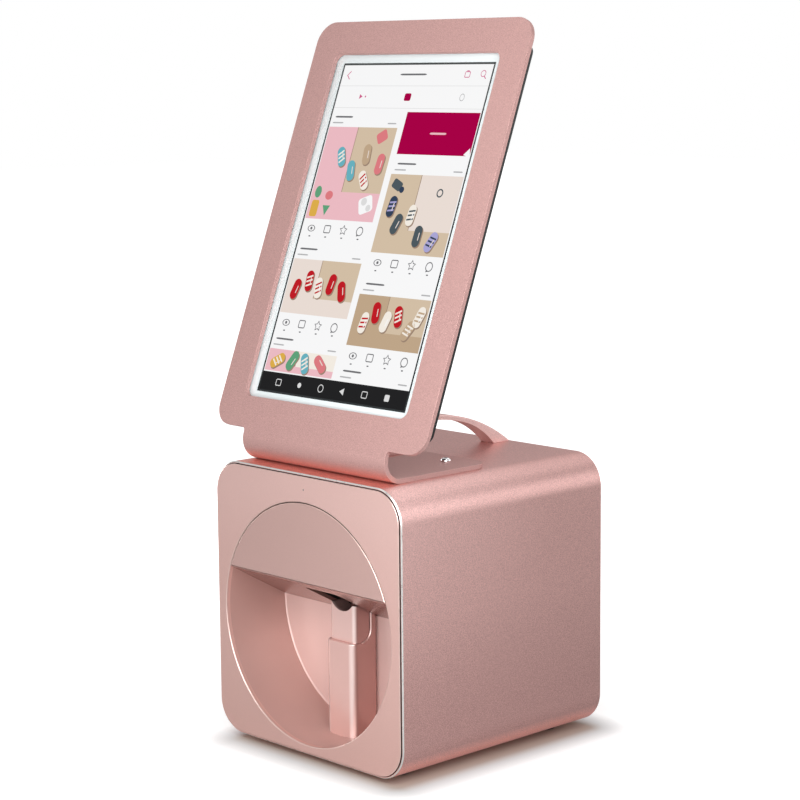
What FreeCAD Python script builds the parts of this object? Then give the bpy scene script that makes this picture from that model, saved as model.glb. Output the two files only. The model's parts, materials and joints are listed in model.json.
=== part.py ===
"""Digital nail art printer: a satin aluminium cube with a round hand bowl and a leaning tablet.

Frame: +Z up, the front faces -Y, +X to the viewer's right.  The origin lies in the middle of the
overall box, on the surface that the rubber feet stand on.  All sizes are millimetres.
"""
import FreeCAD, Part

import math
import os

import Sketcher

Vector = FreeCAD.Vector

# alias, value, what it is
DRIVING_SIZES = [
    ("shell_width", 172.0, "outer shell, across"),
    ("shell_height", 178.4, "outer shell, bottom to top"),
    ("shell_depth", 178.4, "front face of the panel to the rear rim of the shell"),
    ("shell_radius", 21.0, "outer corner radius of the shell"),
    ("shell_wall", 1.3, "wall of the extruded shell"),
    ("shell_chamfer", 0.8, "bright cut chamfer on the front rim"),
    ("foot_height", 3.0, "rubber feet below the shell"),
    ("foot_radius", 8.0, "rubber foot"),
    ("foot_reach_x", 57.0, "feet, from the middle"),
    ("foot_reach_y", 66.0, "feet, from the middle"),
    ("panel_proud", 1.0, "front panel in front of the shell's rim"),
    ("panel_gap", 0.2, "gap round the front and rear panels"),
    ("panel_thickness", 3.0, "front panel and brow cover"),
    ("bowl_radius", 77.0, "hand bowl, inside"),
    ("bowl_depth", 50.0, "front face to the bowl's back wall"),
    ("bowl_height", 83.4, "bowl axis above the shell's bottom"),
    ("bowl_wall", 2.0, "moulded wall of the bowl"),
    ("ceiling_front", 109.8, "sloping ceiling at the front face, above the shell's bottom"),
    ("ceiling_rear", 82.3, "sloping ceiling at the back wall, above the shell's bottom"),
    ("ceiling_thickness", 2.7, "ceiling plate, measured upright"),
    ("window_width", 30.0, "finger window in the ceiling"),
    ("window_front", 12.2, "front face to the window's front edge"),
    ("window_rear", 43.4, "front face to the window's rear edge"),
    ("post_width", 26.0, "finger post"),
    ("post_front", 27.8, "front face of the panel to the front of the post"),
    ("post_ledge", 67.7, "ledge of the post above the shell's bottom"),
    ("post_stand", 43.3, "front face of the panel to the post's rear upstand"),
    ("post_corner", 4.5, "upright corners of the post"),
    ("rest_width", 23.6, "sliding finger rest"),
    ("rest_top", 91.5, "top of the finger rest above the shell's bottom"),
    ("rest_height", 42.5, "finger rest, bottom to top"),
    ("rest_travel", 12.0, "how far the finger rest sinks"),
    ("groove_radius", 11.8, "finger groove"),
    ("groove_low", 87.0, "bottom of the finger groove above the shell's bottom"),
    ("tie_x", 74.0, "tie posts, from the middle"),
    ("tie_z", 78.7, "tie posts, above and below the shell's middle"),
    ("tie_radius", 4.0, "tie post"),
    ("handle_middle", 100.5, "front face of the panel to the crown of the handle"),
    ("handle_half", 77.2, "half the span of the handle, outside"),
    ("handle_inside", 61.8, "half the span of the handle, inside"),
    ("handle_rise", 25.1, "crown of the handle above the shell"),
    ("handle_band", 3.2, "thickness of the handle at its crown"),
    ("handle_width", 12.0, "handle, across"),
    ("screen_width", 136.8, "lit face of the display, across"),
    ("screen_length", 220.8, "lit face of the display, upright"),
    ("screen_tilt", 21.0, "how far the tablet leans back from upright, in degrees"),
    ("sheet_thickness", 3.0, "bent sheet that holds the tablet"),
    ("sheet_half", 96.0, "half the width of the sheet's frame"),
    ("sheet_top", 248.0, "top of the sheet above the bottom of the lit face"),
    ("sheet_bottom", 25.0, "lower ears of the sheet below the lit face"),
    ("sheet_neck", 65.7, "half the width of the neck and of the foot plate"),
    ("sheet_face", 4.0, "sheet's front face in front of the display"),
    ("frame_window", 74.5, "half the width of the sheet's window"),
    ("bend_radius", 13.5, "outer radius of the bend"),
    ("bend_front", 6.8, "front face of the panel to the foremost line of the bend"),
    ("plate_rear", 97.0, "front face of the panel to the rear edge of the foot plate"),
    ("plate_screw_x", 42.0, "screws of the foot plate, from the middle"),
    ("plate_screw_y", 81.5, "screws of the foot plate, from the front face"),
    ("tablet_half", 87.2, "half the width of the tablet's case"),
    ("tablet_low", 15.0, "tablet's case below the lit face"),
    ("tablet_high", 235.0, "top of the tablet's case above the bottom of the lit face"),
    ("tablet_depth", 10.5, "tablet's case behind the display"),
    ("rod_radius", 3.0, "ground guide rods"),
    ("fit_clearance", 0.05, "running fit, on the radius"),
    ("y_rod_x", 74.5, "fore-and-aft rods, from the middle"),
    ("y_rod_z", 150.0, "fore-and-aft rods above the ground"),
    ("x_rod_y", -12.0, "cross rods, fore and aft"),
    ("x_rod_upper", 156.0, "upper cross rod above the ground"),
    ("x_rod_lower", 128.0, "lower cross rod above the ground"),
    ("sheet_metal", 1.5, "inner steel sheets"),
    ("pulley_radius", 6.0, "belt pulleys"),
    ("pulley_x", 56.0, "belt pulleys, from the middle"),
    ("pulley_y", 10.0, "belt pulleys, fore and aft"),
    ("belt_low", 134.0, "lower edge of the belt above the ground"),
    ("belt_width", 5.0, "belt"),
    ("screw_radius", 3.0, "lead screw"),
    ("fan_x", -40.0, "fan centre, across"),
    ("fan_z", 62.0, "fan centre above the ground"),
    ("fan_side", 40.0, "fan frame"),
    ("socket_z", 40.0, "row of sockets above the ground"),
]

doc = FreeCAD.newDocument("nail_printer")


# ---------------------------------------------------------------- sizes that know their formula

class Size:
    """A length with the formula that ties it to the sheet, so that one sum gives both."""

    def __init__(self, value, formula):
        self.value = float(value)
        self.formula = formula

    def __add__(self, other):
        return combine(self, "+", other)

    def __radd__(self, other):
        return combine(other, "+", self)

    def __sub__(self, other):
        return combine(self, "-", other)

    def __rsub__(self, other):
        return combine(other, "-", self)

    def __mul__(self, other):
        return combine(self, "*", other)

    def __rmul__(self, other):
        return combine(other, "*", self)

    def __truediv__(self, other):
        return combine(self, "/", other)

    def __neg__(self):
        return combine(0.0, "-", self)


OPERATIONS = {
    "+": lambda a, b: a + b,
    "-": lambda a, b: a - b,
    "*": lambda a, b: a * b,
    "/": lambda a, b: a / b,
}


def as_size(number):
    """Gives a plain number the form of a Size."""
    if isinstance(number, Size):
        return number
    return Size(number, f"{float(number):.6g}")


def combine(left, sign, right):
    """Joins two sizes into one, in value and in formula."""
    left, right = as_size(left), as_size(right)
    return Size(OPERATIONS[sign](left.value, right.value), f"({left.formula} {sign} {right.formula})")


def cosine(angle):
    """Cosine of an angle in degrees."""
    return Size(math.cos(math.radians(angle.value)), f"cos({angle.formula})")


def sine(angle):
    """Sine of an angle in degrees."""
    return Size(math.sin(math.radians(angle.value)), f"sin({angle.formula})")


def make_sheet():
    """Writes the driving sizes into the sheet and hands them back by name."""
    sheet = doc.addObject("Spreadsheet::Sheet", "Sizes")
    sizes = {}
    for row, (alias, value, meaning) in enumerate(DRIVING_SIZES, start=1):
        sheet.set(f"A{row}", meaning)
        sheet.set(f"B{row}", str(value))
        sheet.setAlias(f"B{row}", alias)
        sizes[alias] = Size(value, f"Sizes.{alias}")
    doc.recompute()
    return sizes


S = make_sheet()

# places that many sub-parts share
FRONT = -S["shell_depth"] / 2
REAR = S["shell_depth"] / 2
FLOOR = S["foot_height"]
MIDDLE = FLOOR + S["shell_height"] / 2
TOP = FLOOR + S["shell_height"]
BOWL_AXIS = FLOOR + S["bowl_height"]
PANEL_BACK = FRONT + S["panel_thickness"]
BOWL_BACK = FRONT + S["bowl_depth"]
INNER_HALF = S["shell_width"] / 2 - S["shell_wall"]
INNER_FLOOR = FLOOR + S["shell_wall"]
REAR_PANEL_FACE = REAR - 2.0
REAR_PANEL_BACK = REAR - 4.0
SLOPE = (S["ceiling_front"] - S["ceiling_rear"]) / S["bowl_depth"]


def ceiling(behind_front):
    """Height of the sloping ceiling's lower face at a distance behind the front face."""
    return FLOOR + S["ceiling_front"] - SLOPE * behind_front


# ---------------------------------------------------------------- drawing helpers

def bind(thing, prop, size):
    """Ties one property to the sheet, or sets it where it is a plain number."""
    size = as_size(size)
    if "Sizes." in size.formula:
        thing.setExpression(prop, size.formula)
    else:
        parts = prop.split(".")
        if len(parts) == 1:
            setattr(thing, prop, size.value)
        else:
            thing.setExpression(prop, size.formula)


class Draft:
    """One sketch of a body, drawn with corners that are each tied to the sheet."""

    PLANES = {"XY": "XY_Plane", "XZ": "XZ_Plane", "YZ": "YZ_Plane"}

    def __init__(self, body, name, plane, lift=0.0, rise=0.0):
        """Lies on a plane of the body: lift moves it along the normal, rise along its own y."""
        self.sketch = body.newObject("Sketcher::SketchObject", name)
        role = self.PLANES[plane]
        support = [item for item in body.Origin.OriginFeatures if item.Role == role][0]
        self.sketch.AttachmentSupport = [(support, "")]
        self.sketch.MapMode = "FlatFace"
        bind(self.sketch, "AttachmentOffset.Base.z", lift)
        bind(self.sketch, "AttachmentOffset.Base.y", rise)

    def hold(self, kind, geometry, position, size):
        """Adds a distance from the sketch's origin, tied to the sheet."""
        size = as_size(size)
        constraint = Sketcher.Constraint(kind, -1, 1, geometry, position, size.value)
        index = self.sketch.addConstraint(constraint)
        if "Sizes." in size.formula:
            self.sketch.setExpression(f"Constraints[{index}]", size.formula)

    def radius(self, geometry, size):
        """Adds a radius, tied to the sheet."""
        size = as_size(size)
        index = self.sketch.addConstraint(Sketcher.Constraint("Radius", geometry, size.value))
        if "Sizes." in size.formula:
            self.sketch.setExpression(f"Constraints[{index}]", size.formula)

    def chain(self, corners, bends=None):
        """Draws a closed outline through the corners.

        bends gives the radius of the edge that starts at a corner: positive where the arc turns
        left on its way, negative where it turns right.
        """
        bends = bends or {}
        corners = [(as_size(x), as_size(y)) for x, y in corners]
        ends = []
        for index, start in enumerate(corners):
            finish = corners[(index + 1) % len(corners)]
            a = Vector(start[0].value, start[1].value, 0)
            b = Vector(finish[0].value, finish[1].value, 0)
            if index in bends:
                bend = as_size(bends[index])
                geometry = self.sketch.addGeometry(arc_between(a, b, bend.value), False)
                ends.append((geometry, 1, 2) if bend.value > 0 else (geometry, 2, 1))
                self.radius(geometry, bend if bend.value > 0 else -bend)
            else:
                geometry = self.sketch.addGeometry(Part.LineSegment(a, b), False)
                ends.append((geometry, 1, 2))
        for index, (geometry, start, finish) in enumerate(ends):
            following = ends[(index + 1) % len(ends)]
            join = Sketcher.Constraint("Coincident", geometry, finish, following[0], following[1])
            self.sketch.addConstraint(join)
            self.hold("DistanceX", geometry, start, corners[index][0])
            self.hold("DistanceY", geometry, start, corners[index][1])
        return self

    def box(self, low_x, high_x, low_y, high_y, corner=None):
        """Draws a rectangle, with rounded corners where a radius is given."""
        if corner is None:
            return self.chain([(low_x, low_y), (high_x, low_y), (high_x, high_y), (low_x, high_y)])
        points = [
            (low_x + corner, low_y), (high_x - corner, low_y),
            (high_x, low_y + corner), (high_x, high_y - corner),
            (high_x - corner, high_y), (low_x + corner, high_y),
            (low_x, high_y - corner), (low_x, low_y + corner),
        ]
        return self.chain(points, {1: corner, 3: corner, 5: corner, 7: corner})

    def cut_box(self, low_x, high_x, low_y, high_y, corner):
        """Draws a rectangle with straight cut corners."""
        return self.chain([
            (low_x + corner, low_y), (high_x - corner, low_y),
            (high_x, low_y + corner), (high_x, high_y - corner),
            (high_x - corner, high_y), (low_x + corner, high_y),
            (low_x, high_y - corner), (low_x, low_y + corner),
        ])

    def six_sided(self, x, y, radius):
        """Draws a hexagon, as for the hole of a thread, with two corners on its own x."""
        high = radius * math.sqrt(3) / 2
        return self.chain([
            (x + radius, y), (x + radius / 2, y + high), (x - radius / 2, y + high),
            (x - radius, y), (x - radius / 2, y - high), (x + radius / 2, y - high),
        ])

    def circle(self, x, y, radius):
        """Draws a circle."""
        x, y, radius = as_size(x), as_size(y), as_size(radius)
        shape = Part.Circle(Vector(x.value, y.value, 0), Vector(0, 0, 1), radius.value)
        geometry = self.sketch.addGeometry(shape, False)
        self.hold("DistanceX", geometry, 3, x)
        self.hold("DistanceY", geometry, 3, y)
        self.radius(geometry, radius)
        return self


def arc_between(start, finish, bend):
    """Gives the smaller arc from start to finish; a positive bend turns left."""
    chord = finish - start
    radius = abs(bend)
    reach = math.sqrt(max(radius * radius - chord.Length ** 2 / 4, 0.0))
    left = Vector(-chord.y, chord.x, 0).normalize()
    centre = (start + finish) * 0.5 + left * (reach if bend > 0 else -reach)
    first, last = (start, finish) if bend > 0 else (finish, start)
    from_angle = math.atan2(first.y - centre.y, first.x - centre.x)
    to_angle = math.atan2(last.y - centre.y, last.x - centre.x)
    if to_angle < from_angle:
        to_angle += 2 * math.pi
    return Part.ArcOfCircle(Part.Circle(centre, Vector(0, 0, 1), radius), from_angle, to_angle)


def new_body(label):
    """Starts a body that is one node."""
    body = doc.addObject("PartDesign::Body", label)
    body.Label = label
    return body


def pad(body, draft, length, both=False, back=False):
    """Raises a sketch: along its normal, to both sides, or backwards."""
    feature = body.newObject("PartDesign::Pad", "Pad")
    feature.Profile = draft.sketch
    feature.Midplane = both
    feature.Reversed = back
    bind(feature, "Length", length)
    return feature


def pocket(body, draft, length=None, both=False, back=False):
    """Sinks a sketch, through everything where no length is given."""
    before = body.Tip
    feature = body.newObject("PartDesign::Pocket", "Pocket")
    feature.Profile = draft.sketch
    feature.Midplane = both
    feature.Reversed = back
    if length is None:
        feature.Type = "ThroughAll"
    else:
        bind(feature, "Length", length)
    doc.recompute()
    if feature.Shape.Volume > before.Shape.Volume - 1e-3:
        raise RuntimeError(f"{body.Label}: {feature.Name} cuts nothing")
    return feature


def revolve(body, draft, axis="H_Axis", groove=False):
    """Turns a sketch once round one of its own axes."""
    kind = "PartDesign::Groove" if groove else "PartDesign::Revolution"
    feature = body.newObject(kind, "Turn")
    feature.Profile = draft.sketch
    feature.ReferenceAxis = (draft.sketch, [axis])
    feature.Angle = 360.0
    return feature


def edges_where(shape, test):
    """Names the edges that pass a test of their box."""
    return [f"Edge{n}" for n, edge in enumerate(shape.Edges, start=1) if test(edge.BoundBox, edge)]


def dress(body, kind, size, test):
    """Fillets or chamfers the edges of a body that pass a test."""
    doc.recompute()
    base = body.Tip
    names = edges_where(base.Shape, test)
    if not names:
        raise RuntimeError(f"{body.Label}: no edge for a {kind}")
    feature = body.newObject(f"PartDesign::{kind}", kind)
    feature.Base = (base, names)
    bind(feature, "Radius" if kind == "Fillet" else "Size", size)
    return feature


def near(value, target, tolerance=0.01):
    """Tells whether a number is close to a target."""
    return abs(value - as_size(target).value) < tolerance


def flat_at(axis, level):
    """Gives a test for edges that lie in one plane across an axis."""
    def test(box, _edge):
        low, high = getattr(box, axis + "Min"), getattr(box, axis + "Max")
        return near(low, level) and near(high, level)
    return test


def upright(axis, *places):
    """Gives a test for straight edges along an axis that pass near any of the places."""
    others = [name for name in "XYZ" if name != axis]

    def test(box, edge):
        spans = [getattr(box, name + "Max") - getattr(box, name + "Min") for name in others]
        if max(spans) > 1e-3 or edge.Length < 1e-3:
            return False
        here = [getattr(box, name + "Min") for name in others]
        return any(near(here[0], a, 0.05) and near(here[1], b, 0.05) for a, b in places)
    return test


TURNS = {
    "X": FreeCAD.Rotation(Vector(0, 1, 0), 90),
    "Y": FreeCAD.Rotation(Vector(1, 0, 0), -90),
    "Z": FreeCAD.Rotation(),
}


def block(name, x, y, z):
    """A box from the low to the high value of each axis."""
    thing = doc.addObject("Part::Box", name)
    for prop, axis, (low, high) in (("Length", "x", x), ("Width", "y", y), ("Height", "z", z)):
        bind(thing, prop, as_size(high) - low)
        bind(thing, f"Placement.Base.{axis}", low)
    return thing


def cylinder(name, axis, start, radius, length):
    """A round bar that starts at a point and runs along an axis."""
    thing = doc.addObject("Part::Cylinder", name)
    thing.Placement = FreeCAD.Placement(Vector(), TURNS[axis])
    bind(thing, "Radius", radius)
    bind(thing, "Height", length)
    for letter, place in zip("xyz", start):
        bind(thing, f"Placement.Base.{letter}", place)
    return thing


def hexagon(name, axis, start, radius, length):
    """A six-sided bar, as for nuts, pillars and threads, that runs along an axis."""
    thing = doc.addObject("Part::Prism", name)
    thing.Polygon = 6
    thing.Placement = FreeCAD.Placement(Vector(), TURNS[axis])
    bind(thing, "Circumradius", radius)
    bind(thing, "Height", length)
    for letter, place in zip("xyz", start):
        bind(thing, f"Placement.Base.{letter}", place)
    return thing


def fuse(name, *things):
    """Joins several objects."""
    thing = doc.addObject("Part::MultiFuse", name)
    thing.Shapes = list(things)
    return thing


def cut(name, base, *tools):
    """Takes several objects from one."""
    thing = doc.addObject("Part::Cut", name)
    thing.Base = base
    thing.Tool = tools[0] if len(tools) == 1 else fuse(name + "_tools", *tools)
    return thing


def labelled(thing, label):
    """Gives a finished object the name of its node."""
    thing.Label = label
    return thing


# ---------------------------------------------------------------- housing

def outer_shell():
    """Extruded tube with a bright chamfer on its front rim and holes for what is screwed to it."""
    body = new_body("outer_shell")
    half = S["shell_width"] / 2
    outline = Draft(body, "Tube", "XZ", lift=-REAR)
    outline.box(-half, half, FLOOR, TOP, S["shell_radius"])
    outline.box(-INNER_HALF, INNER_HALF, INNER_FLOOR, TOP - S["shell_wall"],
                S["shell_radius"] - S["shell_wall"])
    pad(body, outline, S["shell_depth"] - S["panel_proud"])
    top_holes = Draft(body, "TopHoles", "XY", lift=TOP + 1)
    for side in (-1, 1):
        top_holes.six_sided(side * S["plate_screw_x"], FRONT + S["plate_screw_y"], as_size(2.2))
    for place in handle_screw_places():
        top_holes.six_sided(as_size(0), place, as_size(2.2))
    pocket(body, top_holes, S["shell_wall"] + 2)
    rim = FRONT + S["panel_proud"]

    def front_outer(box, _edge):
        wide = max(box.XMax, -box.XMin) > half.value - 0.1
        tall = box.ZMax > TOP.value - 0.1 or box.ZMin < FLOOR.value + 0.1
        return near(box.YMin, rim) and near(box.YMax, rim) and (wide or tall)
    dress(body, "Chamfer", S["shell_chamfer"], front_outer)
    return body


def foot_places():
    """Where the four feet stand."""
    return [(sx * S["foot_reach_x"], sy * S["foot_reach_y"]) for sx in (-1, 1) for sy in (-1, 1)]


def handle_screw_places():
    """Fore-and-aft places of the two handle screws."""
    middle = FRONT + S["handle_middle"]
    reach = (S["handle_half"] + S["handle_inside"]) / 2
    return [middle - reach, middle + reach]


def tie_places():
    """Where the four tie posts run from panel to panel."""
    return [(sx * S["tie_x"], MIDDLE + sz * S["tie_z"]) for sx in (-1, 1) for sz in (-1, 1)]


def panel_outline(draft):
    """Draws the rounded outline that both end panels share."""
    half = INNER_HALF - S["panel_gap"]
    low = INNER_FLOOR + S["panel_gap"]
    high = TOP - S["shell_wall"] - S["panel_gap"]
    return draft.box(-half, half, low, high, S["shell_radius"] - S["shell_wall"] - S["panel_gap"])


def front_panel():
    """Front panel with the chamfered round opening and the pinhole of the lamp."""
    body = new_body("front_panel")
    outline = Draft(body, "Plate", "XZ", lift=-PANEL_BACK)
    panel_outline(outline).circle(0, BOWL_AXIS, S["bowl_radius"])
    pad(body, outline, S["panel_thickness"])
    lamp = Draft(body, "LampHole", "XZ", lift=-PANEL_BACK)
    lamp.circle(0, FLOOR + 168.6, 0.5)
    pocket(body, lamp, back=True)

    def opening(box, _edge):
        return near(box.YMin, FRONT) and near(box.YMax, FRONT) and near(box.XMax, S["bowl_radius"])
    dress(body, "Chamfer", 0.7, opening)
    return body


def hand_bowl():
    """Round bowl for the hand: side wall and back wall, open above the ceiling."""
    body = new_body("hand_bowl")
    wall = S["bowl_wall"]
    start = PANEL_BACK
    profile = Draft(body, "Profile", "YZ", rise=BOWL_AXIS)
    profile.chain([
        (start, S["bowl_radius"]), (BOWL_BACK, S["bowl_radius"]), (BOWL_BACK, 0),
        (BOWL_BACK + wall, 0), (BOWL_BACK + wall, S["bowl_radius"] + wall),
        (start, S["bowl_radius"] + wall),
    ])
    revolve(body, profile)
    collar = 6.0
    above = Draft(body, "Above", "YZ")
    high = BOWL_AXIS + S["bowl_radius"] + 5
    above.chain([
        (PANEL_BACK + collar, ceiling(S["panel_thickness"] + collar) + S["ceiling_thickness"]),
        (BOWL_BACK + wall + 1, ceiling(S["bowl_depth"] + wall + 1) + S["ceiling_thickness"]),
        (BOWL_BACK + wall + 1, high), (PANEL_BACK + collar, high),
    ])
    pocket(body, above, S["shell_width"], both=True)
    return body


def clip_to_bowl(body, name, clearance):
    """Trims a body to the round inside of the bowl."""
    outside = Draft(body, name, "XZ", lift=-(BOWL_BACK + 5))
    far = S["bowl_radius"] + 30
    outside.box(-far, far, BOWL_AXIS - far, BOWL_AXIS + far)
    outside.circle(0, BOWL_AXIS, S["bowl_radius"] - clearance)
    pocket(body, outside, back=True)


def hood_ceiling():
    """Sloping ceiling of the bowl, with the window that the finger passes through."""
    body = new_body("hood_ceiling")
    start = S["panel_thickness"] + 0.15
    thick = S["ceiling_thickness"]
    side = Draft(body, "Side", "YZ")
    side.chain([
        (FRONT + start, ceiling(start)), (BOWL_BACK, ceiling(S["bowl_depth"])),
        (BOWL_BACK, ceiling(S["bowl_depth"]) + thick), (FRONT + start, ceiling(start) + thick),
    ])
    pad(body, side, 2 * S["bowl_radius"] + 10, both=True)
    clip_to_bowl(body, "RoundEnds", 0.1)
    half = S["window_width"] / 2
    front, rear = FRONT + S["window_front"], FRONT + S["window_rear"]
    soft = 3.0
    window = Draft(body, "Window", "XY", lift=TOP)
    window.chain(
        [(-half, rear), (-half, front + soft), (-half + soft, front),
         (half - soft, front), (half, front + soft), (half, rear)],
        {1: soft, 3: soft})
    pocket(body, window)
    return body


def print_shroud():
    """Black light box above the window: walls round the nail and a floor behind the bowl."""
    body = new_body("print_shroud")
    thick = S["ceiling_thickness"]
    front, rear, high = 10.4, 64.0, 111.0
    low_rear = ceiling(S["bowl_depth"]) + thick - 1.5
    side = Draft(body, "Side", "YZ")
    side.chain([
        (FRONT + front, ceiling(front) + thick), (BOWL_BACK, ceiling(S["bowl_depth"]) + thick),
        (BOWL_BACK + S["bowl_wall"] + 0.2, ceiling(S["bowl_depth"]) + thick),
        (BOWL_BACK + S["bowl_wall"] + 0.2, low_rear), (FRONT + rear, low_rear),
        (FRONT + rear, high), (FRONT + front, high),
    ])
    wide = S["window_width"] + 6
    wall = 1.5
    pad(body, side, wide, both=True)
    inside = Draft(body, "Inside", "XY", lift=high)
    inside.box(-wide / 2 + wall, wide / 2 - wall, FRONT + front + wall, FRONT + rear - wall)
    pocket(body, inside, high - low_rear - wall)
    port = Draft(body, "CameraPort", "YZ", lift=-wide)
    port.box(FRONT + 30, FRONT + 38, CAMERA_Z - 4, CAMERA_Z + 4)
    pocket(body, port, wide, back=True)
    return body


CAMERA_Z = 105.6


def finger_post():
    """Post on the bowl's floor: a hollow front column with a ledge and a tall rear upstand."""
    body = new_body("finger_post")
    front, stand = FRONT + S["post_front"], FRONT + S["post_stand"]
    ledge = FLOOR + S["post_ledge"]
    low = BOWL_AXIS - S["bowl_radius"] - 1
    curve = 8.0
    gap = 0.1
    soft = S["post_corner"]
    side = Draft(body, "Side", "YZ")
    side.chain([
        (front, low), (BOWL_BACK - 0.02, low),
        (BOWL_BACK - 0.02, ceiling(S["bowl_depth"]) - gap), (stand, ceiling(S["post_stand"]) - gap),
        (stand, ledge + curve), (stand - curve, ledge), (front, ledge),
    ], {4: -curve})
    pad(body, side, S["post_width"], both=True)
    half = S["post_width"] / 2
    dress(body, "Fillet", soft, upright("Z", (-half, front), (half, front)))
    rear = BOWL_BACK - 0.02
    dress(body, "Fillet", soft, upright("Z", (-half, rear), (half, rear)))
    clip_to_bowl(body, "RoundFoot", 0.03)
    well = Draft(body, "Well", "XY", lift=ceiling(0))
    play = 0.15
    low_x, high_x = -S["rest_width"] / 2 - play, S["rest_width"] / 2 + play
    low_y, high_y = front + REST_INSET - play, stand - 0.05
    round_front = REST_CORNER + play
    well.chain([
        (low_x + round_front, low_y), (high_x - round_front, low_y),
        (high_x, low_y + round_front), (high_x, high_y), (low_x, high_y),
        (low_x, low_y + round_front),
    ], {1: round_front, 5: round_front})
    pocket(body, well, ceiling(0) - WELL_FLOOR)
    return body


WELL_FLOOR = FLOOR + 22
REST_INSET = 2.9
REST_CORNER = 3.0
REST_Y = FRONT + S["post_front"] + 8.6


def finger_rest():
    """Sprung saddle that the finger lies on; it sinks into the post when it is pressed."""
    body = new_body("finger_rest")
    front, rear = FRONT + S["post_front"] + REST_INSET, FRONT + S["post_stand"] - 0.3
    half = S["rest_width"] / 2
    high = FLOOR + S["rest_top"]
    low = high - S["rest_height"]
    plan = Draft(body, "Plan", "XY", lift=low)
    plan.box(-half, half, front, rear)
    pad(body, plan, S["rest_height"])
    groove = Draft(body, "Groove", "XZ")
    groove.circle(0, FLOOR + S["groove_low"] + S["groove_radius"], S["groove_radius"])
    pocket(body, groove, S["shell_depth"] * 2, both=True)
    dress(body, "Fillet", REST_CORNER, upright("Z", (-half, front), (half, front)))
    bores = Draft(body, "PinBores", "XY", lift=low)
    for side in (-1, 1):
        bores.circle(side * PIN_X, REST_Y, PIN_RADIUS + S["fit_clearance"])
    pocket(body, bores, 32.0, back=True)
    return body


PIN_X = 7.3
PIN_RADIUS = 1.5


def guide_pins():
    """Two pins in the post's well that guide the finger rest."""
    length = S["rest_top"] - S["rest_height"] + 18 - 22
    pins = [cylinder("Pin", "Z", (side * PIN_X, REST_Y, WELL_FLOOR), PIN_RADIUS, length)
            for side in (-1, 1)]
    return labelled(fuse("rest_guide_pins", *pins), "rest_guide_pins")


def rest_spring():
    """Coil spring under the finger rest: a square wire wound in straight steps round the coil."""
    half_wire, coil, turns, steps = 0.45, 2.9, 6, 10
    low = WELL_FLOOR.value + half_wire + 0.05
    high = FLOOR.value + S["rest_top"].value - S["rest_height"].value - half_wire - 0.05
    count = turns * steps
    corners = ((-1, -1), (1, -1), (1, 1), (-1, 1))
    rings = []
    for number in range(count + 1):
        angle = 2 * math.pi * number / steps
        height = low + (high - low) * number / count
        rings.append([Vector((coil + u * half_wire) * math.cos(angle),
                             REST_Y.value + (coil + u * half_wire) * math.sin(angle),
                             height + w * half_wire) for u, w in corners])
    faces = [flat_face(*rings[0]), flat_face(*rings[-1])]
    for here, there in zip(rings, rings[1:]):
        for side in range(4):
            following = (side + 1) % 4
            faces.append(flat_face(here[side], here[following], there[following]))
            faces.append(flat_face(here[side], there[following], there[side]))
    spring = doc.addObject("Part::Feature", "rest_spring")
    spring.Shape = Part.makeSolid(Part.makeShell(faces))
    return labelled(spring, "finger_rest_spring")


def flat_face(*corners):
    """A flat face with straight sides."""
    return Part.Face(Part.makePolygon(list(corners) + [corners[0]]))


def brow_cover():
    """Upper segment of the round front: a magnetic cover in front of the cartridge."""
    body = new_body("brow_cover")
    gap = 0.4
    outline = Draft(body, "Disc", "XZ", lift=-(FRONT + S["panel_thickness"]))
    outline.circle(0, BOWL_AXIS, S["bowl_radius"] - gap)
    pad(body, outline, S["panel_thickness"])
    below = Draft(body, "Below", "YZ")
    low = BOWL_AXIS - S["bowl_radius"]
    below.chain([(FRONT - 1, ceiling(-1)), (FRONT - 1, low - 1), (PANEL_BACK + 1, low - 1),
                 (PANEL_BACK + 1, ceiling(S["panel_thickness"] + 1))])
    pocket(body, below, S["shell_width"], both=True)

    def front_arc(box, edge):
        return near(box.YMin, FRONT) and near(box.YMax, FRONT) and edge.Length > 160
    dress(body, "Chamfer", 0.5, front_arc)
    return body


MAGNET_ANGLES = (40, 90, 140)


def cover_seat():
    """Three lugs behind the brow cover, bonded to the bowl's collar."""
    body = new_body("cover_seat")
    ring = Draft(body, "Lugs", "XZ", lift=-(FRONT + 8.6))
    outer, inner = S["bowl_radius"] - 0.05, S["bowl_radius"] - 7.5
    for degrees in MAGNET_ANGLES:
        first, last = as_size(degrees - 6), as_size(degrees + 6)
        ring.chain([
            (outer * cosine(first), BOWL_AXIS + outer * sine(first)),
            (outer * cosine(last), BOWL_AXIS + outer * sine(last)),
            (inner * cosine(last), BOWL_AXIS + inner * sine(last)),
            (inner * cosine(first), BOWL_AXIS + inner * sine(first)),
        ], {0: outer, 2: -inner})
    pad(body, ring, 2.4)
    return body


def cover_magnets():
    """Block magnets on the lugs that hold the brow cover."""
    reach = S["bowl_radius"] - 3.9
    blocks = []
    for degrees in MAGNET_ANGLES:
        angle = as_size(degrees)
        x, z = reach * cosine(angle), BOWL_AXIS + reach * sine(angle)
        blocks.append(block("Magnet", (x - 2.2, x + 2.2), (FRONT + 3.2, FRONT + 6.2),
                            (z - 2.2, z + 2.2)))
    return labelled(fuse("cover_magnets", *blocks), "cover_magnets")


def status_lamp():
    """Light pipe behind the pinhole of the front panel, with a flange that stops it."""
    height = FLOOR + 168.6
    pipe = hexagon("Pipe", "Y", (0, FRONT + 0.4, height), 0.47, 8.0)
    flange = hexagon("Flange", "Y", (0, PANEL_BACK + 0.05, height), 2.0, 1.2)
    return labelled(fuse("status_lamp", pipe, flange), "status_lamp")


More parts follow.
